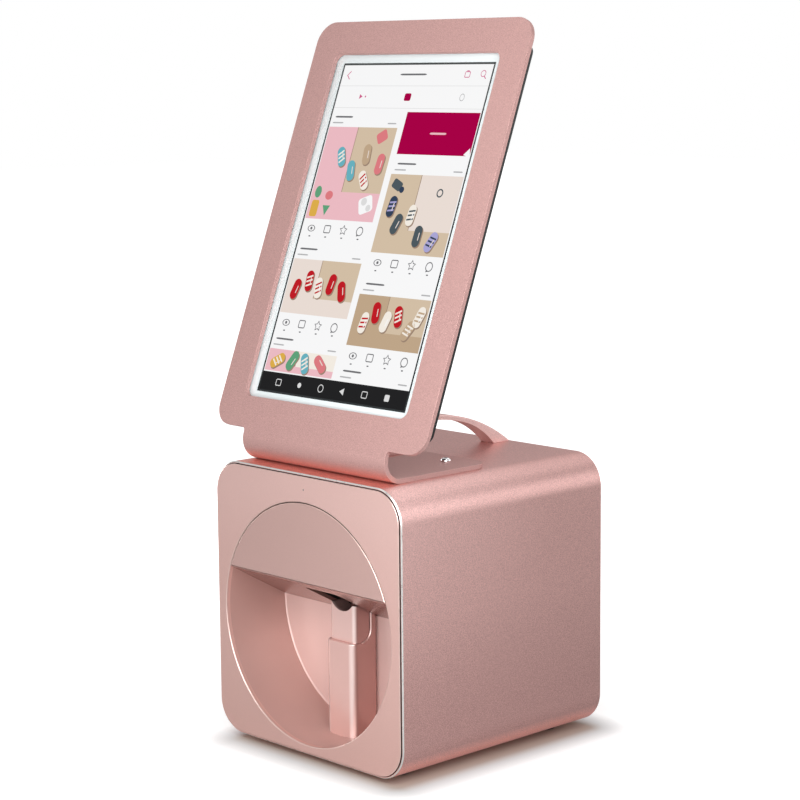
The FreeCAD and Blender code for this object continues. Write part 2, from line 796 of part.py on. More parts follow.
def base_chassis():
    """Folded steel tray on the shell's bottom, with two flanges that carry the side frames."""
    body = new_body("base_chassis")
    half = 64.0
    thick = S["sheet_metal"]
    plate = Draft(body, "Plate", "XY", lift=INNER_FLOOR)
    plate.box(-half, half, FRONT + 5, REAR - 7)
    pad(body, plate, thick)
    flanges = Draft(body, "Flanges", "XY", lift=INNER_FLOOR)
    for side in (-1, 1):
        near_x, far_x = side * half, side * (half - thick.value)
        flanges.box(min(near_x, far_x), max(near_x, far_x), BOWL_BACK + 8, REAR - 12)
    pad(body, flanges, FRAME_FLOOR - INNER_FLOOR)
    holes = Draft(body, "Holes", "XY", lift=INNER_FLOOR + 5)
    for x, y in foot_places():
        holes.box(x - 2.1, x + 2.1, y - 3.0, y + 3.0)
    pocket(body, holes, 6)
    relief = Draft(body, "BowlRelief", "XY", lift=INNER_FLOOR + 5)
    relief.box(-26, 26, FRONT + 12, BOWL_BACK - 4)
    pocket(body, relief, 6)
    return body


FRAME_FLOOR = INNER_FLOOR + 14.5
FRAME_FRONT = BOWL_BACK + 5.2
FRAME_REAR = as_size(66.0)
FRAME_OUTSIDE = as_size(81.5)


def frame_side(label, side):
    """One side frame: a flanged steel plate with two ears; a rod is screwed between them."""
    body = new_body(label)
    thick = S["sheet_metal"]
    high = 160.0

    def span(inner, outer):
        return (inner, outer) if side > 0 else (-as_size(outer), -as_size(inner))

    corner = Draft(body, "Angle", "XZ", lift=-FRAME_REAR)
    outer, inner, toe = FRAME_OUTSIDE, FRAME_OUTSIDE - thick, as_size(62.5)
    angle = [(toe, FRAME_FLOOR), (outer, FRAME_FLOOR), (outer, high), (inner, high),
             (inner, FRAME_FLOOR + thick), (toe, FRAME_FLOOR + thick)]
    corner.chain([(x * side, z) for x, z in angle])
    pad(body, corner, FRAME_REAR - FRAME_FRONT)
    for number, start in enumerate((FRAME_FRONT + thick, FRAME_REAR)):
        ear = Draft(body, f"Ear{number}", "XZ", lift=-start)
        low_x, high_x = span(70.0, inner + 0.2)
        ear.box(low_x, high_x, S["y_rod_z"] - 9, S["y_rod_z"] + 9)
        pad(body, ear, thick)
    window = Draft(body, "Window", "YZ", lift=side * (FRAME_OUTSIDE + 1))
    window.box(FRAME_FRONT + 14, FRAME_REAR - 14, FRAME_FLOOR + 16, 128.0)
    pocket(body, window, 4.0, back=side < 0)
    return body


def frame_crossbar():
    """Steel bar across the rear of the side frames; it carries the fore-and-aft motor."""
    body = new_body("frame_crossbar")
    bar = Draft(body, "Bar", "XZ", lift=-(FRAME_REAR + S["sheet_metal"]))
    bar.box(-FRAME_OUTSIDE, FRAME_OUTSIDE, S["y_rod_z"] - 14, S["y_rod_z"] + 10.5)
    bar.box(-4, 4, S["y_rod_z"] - 4, S["y_rod_z"] + 4)
    pad(body, bar, S["sheet_metal"])
    return body


def y_rods():
    """Pair of fore-and-aft guide rods."""
    start = FRAME_FRONT + S["sheet_metal"]
    length = FRAME_REAR - S["sheet_metal"] - start
    bars = [cylinder("Rod", "Y", (side * S["y_rod_x"], start, S["y_rod_z"]), S["rod_radius"], length)
            for side in (-1, 1)]
    return labelled(fuse("y_rods", *bars), "y_rods")


def y_motor():
    """Flat stepper motor on the crossbar."""
    back = FRAME_REAR + S["sheet_metal"]
    can = block("Can", (-14, 14), (back, back + 15.5), (S["y_rod_z"] - 14, S["y_rod_z"] + 10.5))
    plug = block("MotorPlug", (-6, 6), (back + 3, back + 9), (S["y_rod_z"] - 17, S["y_rod_z"] - 13))
    shaft_hole = cylinder("ShaftHole", "Y", (0, FRAME_REAR - 1, S["y_rod_z"]), 1.6, 12)
    return labelled(cut("y_motor", fuse("MotorBody", can, plug), shaft_hole), "y_motor")


def lead_screw():
    """Lead screw with a coupling collar and the motor's shaft."""
    screw = cylinder("Screw", "Y", (0, 14, S["y_rod_z"]), S["screw_radius"], FRAME_REAR - 14 - 2)
    collar = hexagon("Collar", "Y", (0, FRAME_REAR - 12, S["y_rod_z"]), 5.0, 10)
    shaft = hexagon("Shaft", "Y", (0, FRAME_REAR - 3, S["y_rod_z"]), 1.5, 12)
    return labelled(fuse("y_lead_screw", screw, collar, shaft), "y_lead_screw")


# ---------------------------------------------------------------- print stage

STAGE_HALF = as_size(69.5)
STAGE_BEAM = as_size(33.5)


def stage_frame():
    """Folded steel stage that slides fore and aft and carries the cross rods and the belt."""
    body = new_body("stage_frame")
    thick = S["sheet_metal"]
    low, high, front = 118.0, 161.0, -24.0
    plan = Draft(body, "Plan", "XY", lift=low)
    inner, beam = STAGE_HALF - thick, STAGE_BEAM - thick
    plan.chain([
        (-STAGE_HALF, front), (-inner, front), (-inner, beam), (inner, beam), (inner, front),
        (STAGE_HALF, front), (STAGE_HALF, STAGE_BEAM), (-STAGE_HALF, STAGE_BEAM),
    ])
    pad(body, plan, high - low)
    nut_hole = Draft(body, "NutHole", "XZ", lift=-STAGE_BEAM)
    nut_hole.box(-4.5, 4.5, S["y_rod_z"] - 4.5, S["y_rod_z"] + 4.5)
    pocket(body, nut_hole, thick, back=True)
    shelf = Draft(body, "Shelves", "XY", lift=S["belt_low"] - 3)
    for side in (-1, 1):
        ends = sorted((side * 44.0, side * (STAGE_HALF.value - 0.5)))
        shelf.box(ends[0], ends[1], 2.0, STAGE_BEAM - 0.5)
    pad(body, shelf, thick)
    slots = Draft(body, "ShaftSlots", "XY", lift=S["belt_low"] + 2)
    for side in (-1, 1):
        x = side * S["pulley_x"]
        slots.box(x - 2, x + 2, S["pulley_y"] - 4, S["pulley_y"] + 4)
    pocket(body, slots, 6)
    return body


def stage_bearings():
    """Plastic bearing blocks on the stage's sides and the square nut of the lead screw."""
    pieces = []
    for side in (-1, 1):
        ends = sorted((side * STAGE_HALF.value, side * 79.5))
        pieces.append(block("Bearing", ends, (-20, 26), (S["y_rod_z"] - 5, S["y_rod_z"] + 5)))
    pieces.append(block("Nut", (-7, 7), (STAGE_BEAM, STAGE_BEAM + 4),
                        (S["y_rod_z"] - 7, S["y_rod_z"] + 7)))
    bores = [cylinder("Bore", "Y", (side * S["y_rod_x"], -21, S["y_rod_z"]),
                      S["rod_radius"] + S["fit_clearance"], 48) for side in (-1, 1)]
    thread = cylinder("Thread", "Y", (0, 20, S["y_rod_z"]),
                      S["screw_radius"] + S["fit_clearance"], 20)
    return labelled(cut("stage_bearings", fuse("Bearings", *pieces), thread, *bores),
                    "stage_bearings")


def x_rods():
    """Pair of cross rods in the stage."""
    reach = STAGE_HALF - S["sheet_metal"]
    bars = [cylinder("Rod", "X", (-reach, S["x_rod_y"], height), S["rod_radius"], reach * 2)
            for height in (S["x_rod_upper"], S["x_rod_lower"])]
    return labelled(fuse("x_rods", *bars), "x_rods")


def x_motor():
    """Small square motor under the right shelf of the stage."""
    low = 104.0
    high = S["belt_low"] - 3
    x, y = S["pulley_x"], S["pulley_y"]
    can = block("Can", (x - 10.5, x + 10.5), (y - 10.5, y + 10.5), (low, high))
    plug = block("CanPlug", (x - 4, x + 4), (y + 10, y + 13), (low + 3, low + 9))
    bore = cylinder("Bore", "Z", (x, y, high - 15), 1.6, 20)
    return labelled(cut("x_motor", fuse("MotorCan", can, plug), bore), "x_motor")


def pulley(label, side, shaft_down):
    """Belt pulley with its shaft."""
    body = new_body(label)
    low = S["belt_low"]
    rim, width = S["pulley_radius"], S["belt_width"]
    profile = Draft(body, "Profile", "XZ", rise=low)
    profile.chain([
        (0, -shaft_down), (1.5, -shaft_down), (1.5, -0.6), (rim - 0.05, -0.6),
        (rim - 0.05, width + 0.6), (0, width + 0.6),
    ])
    revolve(body, profile, axis="V_Axis")
    bind(body, "Placement.Base.x", side * S["pulley_x"])
    bind(body, "Placement.Base.y", S["pulley_y"])
    return body


def idler_socket():
    """Bush under the left shelf that the idler pulley turns in."""
    high = S["belt_low"] - 3
    x, y = -S["pulley_x"], S["pulley_y"]
    outer = block("Bush", (x - 4, x + 4), (y - 6, y + 6), (high - 8, high))
    bore = cylinder("BushBore", "Z", (-S["pulley_x"], S["pulley_y"], high - 7), 1.6, 10)
    return labelled(cut("idler_bush", outer, bore), "idler_bush")


def x_belt():
    """Belt loop round the two pulleys."""
    body = new_body("x_belt")
    thick = 1.0
    loop = Draft(body, "Loop", "XY", lift=S["belt_low"])
    for radius in (S["pulley_radius"] + thick, S["pulley_radius"] + 0):
        x, y = S["pulley_x"], S["pulley_y"]
        loop.chain([
            (-x, y - radius), (x, y - radius), (x + radius, y), (x, y + radius),
            (-x, y + radius), (-x - radius, y),
        ], {1: radius, 2: radius, 4: radius, 5: radius})
    pad(body, loop, S["belt_width"])
    return body


def x_carriage():
    """Cradle for the ink cartridge, with bearings on both cross rods and a clamp on the belt."""
    body = new_body("x_carriage")
    half = 18.0
    low, high = 113.0, 161.0
    side = Draft(body, "Side", "YZ")
    side.chain([
        (-66, low), (-20, low), (-20, 120), (-4, 120), (-4, high), (-20, high), (-34, 150),
        (-60, 140), (-66, 126),
    ])
    pad(body, side, 2 * half, both=True)
    cradle = Draft(body, "Cradle", "XY", lift=high)
    wall = 1.8
    cradle.box(-half + wall, half - wall, -66 + wall, -20 - wall)
    pocket(body, cradle, high - low - 2)
    mouth = Draft(body, "NozzleMouth", "XY", lift=low + 5)
    mouth.box(-9, 9, -60, -45)
    pocket(body, mouth, 10)
    bores = Draft(body, "Bores", "YZ")
    for height in (S["x_rod_upper"], S["x_rod_lower"]):
        bores.circle(S["x_rod_y"], height, S["rod_radius"] + S["fit_clearance"])
    pocket(body, bores, 200, both=True)
    relief = Draft(body, "BearingRelief", "YZ")
    relief.box(-18, -6, 134, 150)
    pocket(body, relief, 2 * half - 2 * 8, both=True)
    clamp = Draft(body, "Clamp", "XY", lift=S["belt_low"] - 1.2)
    clamp.box(-8, 8, -4.2, 6.4)
    pad(body, clamp, 7.2)
    run = S["pulley_y"] - S["pulley_radius"]
    slot = Draft(body, "BeltSlot", "XY", lift=S["belt_low"] + 20)
    slot.box(-9, 9, run - 1.3, run + 0.3)
    pocket(body, slot, 20.3)
    return body


def ink_cartridge():
    """Thermal ink cartridge: a tall tank with a nose that carries the nozzle plate."""
    body = new_body("ink_cartridge")
    side = Draft(body, "Side", "YZ")
    side.chain([
        (-59, 113.6), (-46, 113.6), (-46, 115.2), (-22.4, 115.2), (-22.4, 160), (-26.4, 164),
        (-58, 164), (-63.6, 158.4), (-63.6, 115.2), (-59, 115.2),
    ], {4: 4.0, 6: 5.6})
    pad(body, side, 31.6, both=True)
    nose = Draft(body, "Nose", "XZ", lift=70)
    for sign in (-1, 1):
        ends = sorted((sign * 8.0, sign * 20.0))
        nose.box(ends[0], ends[1], 110, 115.2)
    pocket(body, nose, 60)
    grips = Draft(body, "Grips", "XY", lift=170)
    for number in range(4):
        grips.box(-10, 10, -56 + 6 * number, -54 + 6 * number)
    pocket(body, grips, 6.8)
    return body


def service_station():
    """Parking cap beside the window, with a rubber lip that keeps the nozzles wet."""
    centre = (36.0, -52.5)
    low = ceiling(25) + S["ceiling_thickness"]
    base = block("StationBase", (centre[0] - 11, centre[0] + 11), (centre[1] - 11, centre[1] + 11),
                 (low, 109))
    lip = block("StationLip", (centre[0] - 7, centre[0] + 7), (centre[1] - 6, centre[1] + 6),
                (108, 112.4))
    hollow = block("StationHollow", (centre[0] - 5.5, centre[0] + 5.5),
                   (centre[1] - 4.5, centre[1] + 4.5), (110.5, 114))
    return labelled(cut("service_station", fuse("Station", base, lip), hollow), "service_station")


def camera_module():
    """Small camera that looks at the nail through a port in the shroud."""
    board = block("CameraBoard", (-31.2, -30), (FRONT + 24, FRONT + 44), (102.6, 111))
    holder = block("LensHolder", (-30, -26), (FRONT + 29.5, FRONT + 38.5),
                   (CAMERA_Z - 4.5, CAMERA_Z + 4.5))
    lens = hexagon("Lens", "X", (-26.5, FRONT + 34, CAMERA_Z), 3.3, 6)
    return labelled(fuse("camera_module", board, holder, lens), "camera_module")


def nail_lamp():
    """Strip of white lamps on the shroud's right wall, beside the nail."""
    strip = block("Strip", (15.7, 16.45), (FRONT + 22, FRONT + 44), (104.4, 109.0))
    lamps = [block("Lamp", (14.8, 15.8), (FRONT + y - 1.2, FRONT + y + 1.2), (105.4, 107.8))
             for y in (25, 30.3, 35.6, 41)]
    return labelled(fuse("nail_lamp", strip, *lamps), "nail_lamp")


# ---------------------------------------------------------------- rear and electronics

VENT_SLOTS = 7


def rear_panel():
    """Rear panel with a fan grille, an upper vent and cut-outs for the sockets."""
    body = new_body("rear_panel")
    outline = Draft(body, "Plate", "XZ", lift=-REAR_PANEL_FACE)
    panel_outline(outline)
    pad(body, outline, 2.0)
    pitch = 5.0
    for number in range(VENT_SLOTS):
        offset = (number - (VENT_SLOTS - 1) / 2) * pitch
        reach = math.sqrt(17.5 ** 2 - offset ** 2)
        slot = Draft(body, f"FanSlot{number}", "XZ", lift=-REAR_PANEL_FACE)
        slot.box(S["fan_x"] - reach, S["fan_x"] + reach,
                 S["fan_z"] + offset - 1.2, S["fan_z"] + offset + 1.2)
        pocket(body, slot, back=True)
    vent = Draft(body, "TopSlot", "XZ", lift=-REAR_PANEL_FACE)
    vent.box(-20, 20, 116, 118.4)
    first = pocket(body, vent, back=True)
    row = body.newObject("PartDesign::LinearPattern", "TopSlots")
    row.Originals = [first]
    row.Direction = ([item for item in body.Origin.OriginFeatures if item.Role == "Z_Axis"][0], [""])
    row.Length = pitch * (VENT_SLOTS - 1)
    row.Occurrences = VENT_SLOTS
    body.Tip = row
    sockets = Draft(body, "Sockets", "XZ", lift=-REAR_PANEL_FACE)
    sockets.box(SWITCH_X - 6.6, SWITCH_X + 6.6, S["socket_z"] - 9.6, S["socket_z"] + 9.6)
    sockets.box(INLET_X - 5.6, INLET_X + 5.6, S["socket_z"] - 5.6, S["socket_z"] + 5.6)
    sockets.box(USB_X - 6.1, USB_X + 6.1, S["socket_z"] - 5.5, S["socket_z"] + 5.5)
    pocket(body, sockets, back=True)
    return body


SWITCH_X = 48.0
INLET_X = 26.0
USB_X = 4.0


def switch_housing():
    """Snap-in frame of the mains rocker, with the well that the rocker tilts in."""
    face = REAR_PANEL_FACE
    z = S["socket_z"]
    bezel = block("Bezel", (SWITCH_X - 8, SWITCH_X + 8), (face, face + 1.2), (z - 11, z + 11))
    can = block("SwitchCan", (SWITCH_X - 6.5, SWITCH_X + 6.5), (face - 16, face + 0.5),
                (z - 9.5, z + 9.5))
    well = block("SwitchWell", (SWITCH_X - 5.2, SWITCH_X + 5.2), (face - 6.6, face + 3),
                 (z - 8.2, z + 8.2))
    blades = [block("Blade", (SWITCH_X - 2.4, SWITCH_X + 2.4), (face - 24, face - 15),
                    (z + step - 0.4, z + step + 0.4)) for step in (-6, 0, 6)]
    housing = cut("SwitchFrame", fuse("SwitchBlock", bezel, can), well)
    return labelled(fuse("switch_housing", housing, *blades), "switch_housing")


ROCKER_TILT = 8.0


def power_rocker():
    """Mains rocker, tilted to off."""
    body = new_body("power_rocker")
    side = Draft(body, "Side", "YZ")
    side.chain([
        (-1.8, -4.0), (-1.8, 4.0), (1.0, 7.2), (2.4, 7.2), (1.2, 0), (2.4, -7.2), (1.0, -7.2),
    ])
    pad(body, side, 9.8, both=True)
    bind(body, "Placement.Base.x", SWITCH_X)
    bind(body, "Placement.Base.y", ROCKER_Y)
    bind(body, "Placement.Base.z", S["socket_z"])
    body.Placement.Rotation = FreeCAD.Rotation(Vector(1, 0, 0), -ROCKER_TILT)
    return body


ROCKER_Y = REAR_PANEL_FACE - 2.4


def power_inlet():
    """Low-voltage barrel socket with its centre pin."""
    face = REAR_PANEL_FACE
    z = S["socket_z"]
    flange = block("InletFlange", (INLET_X - 7, INLET_X + 7), (face, face + 1.2), (z - 7, z + 7))
    barrel = block("InletBarrel", (INLET_X - 5.5, INLET_X + 5.5), (face - 12, face + 0.5),
                   (z - 5.5, z + 5.5))
    bore = cylinder("InletBore", "Y", (INLET_X, face - 9, z), 3.1, 12)
    pin = hexagon("InletPin", "Y", (INLET_X, face - 10, z), 1.05, 10)
    shell = cut("InletShell", fuse("InletBody", flange, barrel), bore)
    return labelled(fuse("power_inlet", shell, pin), "power_inlet")


def usb_socket():
    """Square data socket: a metal shell with its tongue."""
    face = REAR_PANEL_FACE
    z = S["socket_z"]
    shell = block("UsbShell", (USB_X - 6, USB_X + 6), (face - 16, face + 0.4), (z - 5.4, z + 5.4))
    mouth = block("UsbMouth", (USB_X - 4.2, USB_X + 4.2), (face - 9, face + 1), (z - 3.9, z + 3.9))
    tongue = block("UsbTongue", (USB_X - 2.8, USB_X + 2.8), (face - 10, face - 1), (z - 1.6, z + 1.6))
    return labelled(fuse("usb_socket", cut("UsbBody", shell, mouth), tongue), "usb_socket")


def fan_frame():
    """Square frame of the exhaust fan, with four arms that carry the hub plate."""
    body = new_body("fan_frame")
    side, deep = S["fan_side"], 10.0
    outline = Draft(body, "Square", "XZ", lift=-REAR_PANEL_BACK)
    half = side / 2
    outline.box(S["fan_x"] - half, S["fan_x"] + half, S["fan_z"] - half, S["fan_z"] + half)
    outline.circle(S["fan_x"], S["fan_z"], 18.6)
    pad(body, outline, deep)
    arms = Draft(body, "Arms", "XZ", lift=-(REAR_PANEL_BACK - deep + 1.5))
    arms.box(S["fan_x"] - 19, S["fan_x"] + 19, S["fan_z"] - 1.2, S["fan_z"] + 1.2)
    pad(body, arms, 1.5)
    upright_arms = Draft(body, "UprightArms", "XZ", lift=-(REAR_PANEL_BACK - deep + 1.5))
    upright_arms.box(S["fan_x"] - 1.2, S["fan_x"] + 1.2, S["fan_z"] - 19, S["fan_z"] + 19)
    pad(body, upright_arms, 1.5)
    hub = Draft(body, "HubPlate", "XZ", lift=-(REAR_PANEL_BACK - deep + 1.5))
    hub.box(S["fan_x"] - 7, S["fan_x"] + 7, S["fan_z"] - 7, S["fan_z"] + 7)
    pad(body, hub, 1.5)
    bore = Draft(body, "HubBore", "XZ", lift=-(REAR_PANEL_BACK - deep + 1.5))
    bore.circle(S["fan_x"], S["fan_z"], 1.05)
    pocket(body, bore, 4.0, both=True)
    return body


FAN_BLADES = 5


def fan_rotor():
    """Fan hub with a shaft stub and five blades."""
    body = new_body("fan_rotor")
    hub = Draft(body, "Hub", "XZ")
    hub.circle(0, 0, 7.0)
    pad(body, hub, 7.0)
    stub = Draft(body, "Stub", "XZ", lift=-0.2)
    stub.circle(0, 0, 1.0)
    pad(body, stub, 8.6)
    blade = Draft(body, "Blade", "XZ")
    blade.chain([(6.4, -2.2), (17.4, -4.2), (17.8, -1.2), (6.6, -0.6)])
    first = pad(body, blade, 6.4)
    doc.recompute()
    pattern = body.newObject("PartDesign::PolarPattern", "Blades")
    pattern.Originals = [first]
    axis = [item for item in body.Origin.OriginFeatures if item.Role == "Y_Axis"][0]
    pattern.Axis = (axis, [""])
    pattern.Angle = 360.0
    pattern.Occurrences = FAN_BLADES
    body.Tip = pattern
    bind(body, "Placement.Base.x", S["fan_x"])
    bind(body, "Placement.Base.y", REAR_PANEL_BACK - 0.8)
    bind(body, "Placement.Base.z", S["fan_z"])
    return body


def main_board():
    """Control board with its larger components and connectors."""
    low = INNER_FLOOR + 16.5
    board = block("Board", (-56, 56), (-22, 58), (low, low + 1.6))
    parts = [
        ((-48, -30), (30, 50), 9), ((-20, 4), (-6, 18), 3), ((12, 28), (-10, 6), 3),
        ((34, 50), (24, 40), 12), ((34, 42), (-18, -2), 10), ((-50, -42), (-16, 16), 7),
        ((-10, 10), (46, 57), 8), ((16, 26), (44, 57), 11),
    ]
    lumps = [block("Component", x, y, (low + 1.5, low + 1.6 + tall)) for x, y, tall in parts]
    return labelled(fuse("main_board", board, *lumps), "main_board")


def board_pillars():
    """Hexagonal pillars between the tray and the board."""
    bars = []
    low = INNER_FLOOR + S["sheet_metal"]
    for x in (-52, 52):
        for y in (-18, 54):
            bars.append(hexagon("Pillar", "Z", (x, y, low), 3.2, 15.0))
    return labelled(fuse("board_pillars", *bars), "board_pillars")


def tie_posts():
    """Four hexagonal posts that draw the front panel and the rear panel against the shell."""
    bars = [hexagon("Tie", "Y", (x, PANEL_BACK, z), S["tie_radius"], REAR_PANEL_BACK - PANEL_BACK)
            for x, z in tie_places()]
    return labelled(fuse("tie_posts", *bars), "tie_posts")


def rear_screws():
    """Four plain heads for the screws of the rear panel."""
    heads = [hexagon("Head", "Y", (x, REAR_PANEL_FACE, z), 3.2, 1.5) for x, z in tie_places()]
    return labelled(fuse("rear_panel_screws", *heads), "rear_panel_screws")


def feet():
    """Four round rubber feet, bonded under the shell."""
    pieces = [cylinder("Foot", "Z", (x, y, 0), S["foot_radius"], S["foot_height"])
              for x, y in foot_places()]
    return labelled(fuse("feet", *pieces), "feet")


def foot_screws():
    """Weld studs above the feet, with the nuts that hold the tray to the shell."""
    studs = []
    tray = INNER_FLOOR + S["sheet_metal"]
    for x, y in foot_places():
        stud = hexagon("Stud", "Z", (x, y, INNER_FLOOR), 2.0, S["sheet_metal"] + 5)
        nut = hexagon("Nut", "Z", (x, y, tray), 4.2, 3)
        studs.append(fuse("TrayStud", stud, nut))
    return labelled(fuse("foot_screws", *studs), "foot_screws")


# ---------------------------------------------------------------- carry handle

def carry_handle():
    """Slim arched handle, fore and aft: even at its crown, thicker into each foot."""
    body = new_body("carry_handle")
    middle = FRONT + S["handle_middle"]
    half, inside, rise, band = (S["handle_half"], S["handle_inside"], S["handle_rise"],
                                S["handle_band"])
    outer_radius = (half * half + rise * rise) / (2 * rise)
    inner_radius = outer_radius - band
    even = 32.0
    drop = inner_radius.value - math.sqrt(inner_radius.value ** 2 - even ** 2)
    shoulder = TOP + rise - band - drop
    haunch = 62.0
    side = Draft(body, "Side", "YZ")
    side.chain([
        (middle - half, TOP), (middle - inside, TOP), (middle - even, shoulder),
        (middle + even, shoulder), (middle + inside, TOP), (middle + half, TOP),
        (middle, TOP + rise),
    ], {1: -haunch, 2: -inner_radius, 3: -haunch, 5: outer_radius, 6: outer_radius})
    pad(body, side, S["handle_width"], both=True)

    def band_edges(box, edge):
        return max(box.XMax, -box.XMin) > S["handle_width"].value / 2 - 0.01 \
            and box.XMax - box.XMin < 0.01 and edge.Length > 70
    dress(body, "Chamfer", 0.7, band_edges)
    holes = Draft(body, "Threads", "XY", lift=TOP)
    for place in handle_screw_places():
        holes.six_sided(as_size(0), place, as_size(2.0))
    pocket(body, holes, 5.0, back=True)
    return body


def handle_screws():
    """Screws that hold the handle from inside the shell."""
    screws = []
    inside = TOP - S["shell_wall"]
    for place in handle_screw_places():
        head = hexagon("HandleHead", "Z", (0, place, inside - 2.4), 4.5, 2.4)
        shank = hexagon("HandleShank", "Z", (0, place, inside - 0.5), 1.95, 6)
        screws.append(fuse("HandleScrew", head, shank))
    return labelled(fuse("handle_screws", *screws), "handle_screws")


# ---------------------------------------------------------------- tablet on its bent sheet

def lean(body):
    """Leans a body that was drawn flat: its y runs up the screen, its z towards the viewer."""
    body.Placement = FreeCAD.Placement(
        Vector(), FreeCAD.Rotation(Vector(1, 0, 0), 90 - S["screen_tilt"].value))
    bind(body, "Placement.Base.y", SCREEN_Y)
    bind(body, "Placement.Base.z", SCREEN_Z)
    return body


# the bend is tangent to the leaning sheet and to the flat foot plate
TILT_COS = cosine(S["screen_tilt"])
TILT_SIN = sine(S["screen_tilt"])
BEND_V = -(S["sheet_bottom"] + 2.9)
BEND_W = S["sheet_face"] - S["bend_radius"]
BEND_Y = FRONT + S["bend_front"] + S["bend_radius"]
SCREEN_Y = BEND_Y - BEND_V * TILT_SIN + BEND_W * TILT_COS
SCREEN_Z = TOP + S["bend_radius"] - BEND_V * TILT_COS - BEND_W * TILT_SIN


def tablet_bracket():
    """One bent sheet: frame with a window and ears, neck, rolled bend and slotted foot plate."""
    body = new_body("tablet_bracket")
    face, thick = S["sheet_face"], S["sheet_thickness"]
    half, neck = S["sheet_half"], S["sheet_neck"]
    top, ears = S["sheet_top"], -S["sheet_bottom"]
    crown, ear, notch = 14.5, 13.0, 2.6
    frame = Draft(body, "Frame", "XY", lift=face - thick)
    frame.chain([
        (-neck, BEND_V), (neck, BEND_V), (neck, ears - notch), (neck + notch, ears),
        (half - ear, ears), (half, ears + ear), (half, top - crown), (half - crown, top),
        (-half + crown, top), (-half, top - crown), (-half, ears + ear), (-half + ear, ears),
        (-neck - notch, ears), (-neck, ears - notch),
    ], {2: -notch, 4: ear, 6: crown, 8: crown, 10: ear, 12: -notch})
    window = S["frame_window"]
    frame.box(-window, window, -4.5, S["screen_length"] + 5.2, 6.0)
    pad(body, frame, thick)

    outer, inner = S["bend_radius"], S["bend_radius"] - thick
    along_v, along_w = TILT_SIN, -TILT_COS      # direction of the foot plate
    up_v, up_w = TILT_COS, TILT_SIN             # straight up
    length = S["plate_rear"] - S["bend_front"] - S["bend_radius"]
    foot_outer = (BEND_V - up_v * outer, BEND_W - up_w * outer)
    foot_inner = (BEND_V - up_v * inner, BEND_W - up_w * inner)
    bend = Draft(body, "Bend", "YZ")
    bend.chain([
        (BEND_V, face), (BEND_V - outer, BEND_W), foot_outer,
        (foot_outer[0] + along_v * length, foot_outer[1] + along_w * length),
        (foot_inner[0] + along_v * length, foot_inner[1] + along_w * length),
        foot_inner, (BEND_V - inner, BEND_W), (BEND_V, face - thick),
    ], {0: outer, 1: outer, 5: -inner, 6: -inner})
    pad(body, bend, 2 * neck, both=True)

    def rear_corners(_box, edge):
        if abs(edge.Length - thick.value) > 0.01:
            return False
        middle = edge.CenterOfMass
        rear = foot_outer[1].value + along_w.value * length.value
        return abs(abs(middle.x) - neck.value) < 0.05 and abs(middle.z - rear) < 3.0
    dress(body, "Fillet", 12.0, rear_corners)

    front_face = face.value
    skin = 0.5

    def outer_rim(box, _edge):
        reach = max(box.XMax, -box.XMin)
        flat = near(box.ZMin, front_face) and near(box.ZMax, front_face)
        outside = reach > half.value - crown - 1 or box.YMin > top.value - 0.1
        return flat and outside and box.YMax > ears.value + 0.5
    dress(body, "Chamfer", skin, outer_rim)

    plate = Draft(body, "PlateCuts", "XZ")
    plate.sketch.AttachmentOffset = FreeCAD.Placement(
        Vector(), FreeCAD.Rotation(Vector(1, 0, 0), S["screen_tilt"].value))
    slot = 8.0
    ends = [PLATE_ORIGIN - (S["plate_rear"] + 5), PLATE_ORIGIN - SLOT_FRONT]
    plate.box(-slot, slot, ends[0], ends[1])
    for side in (-1, 1):
        plate.six_sided(side * S["plate_screw_x"], PLATE_ORIGIN - S["plate_screw_y"], as_size(2.2))
    pocket(body, plate, 120.0, back=True)
    return lean(body)


# distance, along the foot plate, from the front face to the point below the screen's origin
PLATE_ORIGIN = SCREEN_Y - FRONT
SLOT_FRONT = 21.5


def bracket_screws():
    """Two raised-head screws that hold the foot plate to the shell, with their nuts inside."""
    screws = []
    plate_top = TOP + S["sheet_thickness"]
    below = TOP - S["shell_wall"]
    for side in (-1, 1):
        x, y = side * S["plate_screw_x"], FRONT + S["plate_screw_y"]
        head = cylinder("CapHead", "Z", (x, y, plate_top), 3.1, 2.0)
        shank = hexagon("CapShank", "Z", (x, y, below - 5), 2.0, plate_top - below + 5.5)
        nut = hexagon("CapNut", "Z", (x, y, below - 3.2), 4.0, 3.2)
        screws.append(fuse("CapScrew", head, shank, nut))
    return labelled(fuse("bracket_screws", *screws), "bracket_screws")


def tablet_tape():
    """Foam tape ring that bonds the tablet's border to the back of the sheet."""
    body = new_body("tablet_tape")
    ring = Draft(body, "Ring", "XY", lift=0.02)
    window = S["frame_window"] + 1.5
    ring.box(-S["tablet_half"] + 1.5, S["tablet_half"] - 1.5, -S["tablet_low"] + 1.5,
             S["tablet_high"] - 1.5)
    ring.box(-window, window, -6.5, S["screen_length"] + 6.7)
    pad(body, ring, S["sheet_face"] - S["sheet_thickness"] - 0.02)
    return lean(body)


def front_bezel():
    """White border of the tablet's front, round the display."""
    body = new_body("front_bezel")
    half = S["screen_width"] / 2
    ring = Draft(body, "Ring", "XY", lift=-2.5)
    ring.box(-S["tablet_half"], S["tablet_half"], -S["tablet_low"], S["tablet_high"], 6.0)
    ring.box(-half, half, 0, S["screen_length"])
    pad(body, ring, 2.5)
    return lean(body)


def display_panel():
    """Display with its cover glass, set flush in the white border."""
    body = new_body("display_panel")
    half = S["screen_width"] / 2 - 0.05
    plate = Draft(body, "Plate", "XY", lift=-3.4)
    plate.box(-half, half, 0.05, S["screen_length"] - 0.05)
    pad(body, plate, 3.3)
    return lean(body)


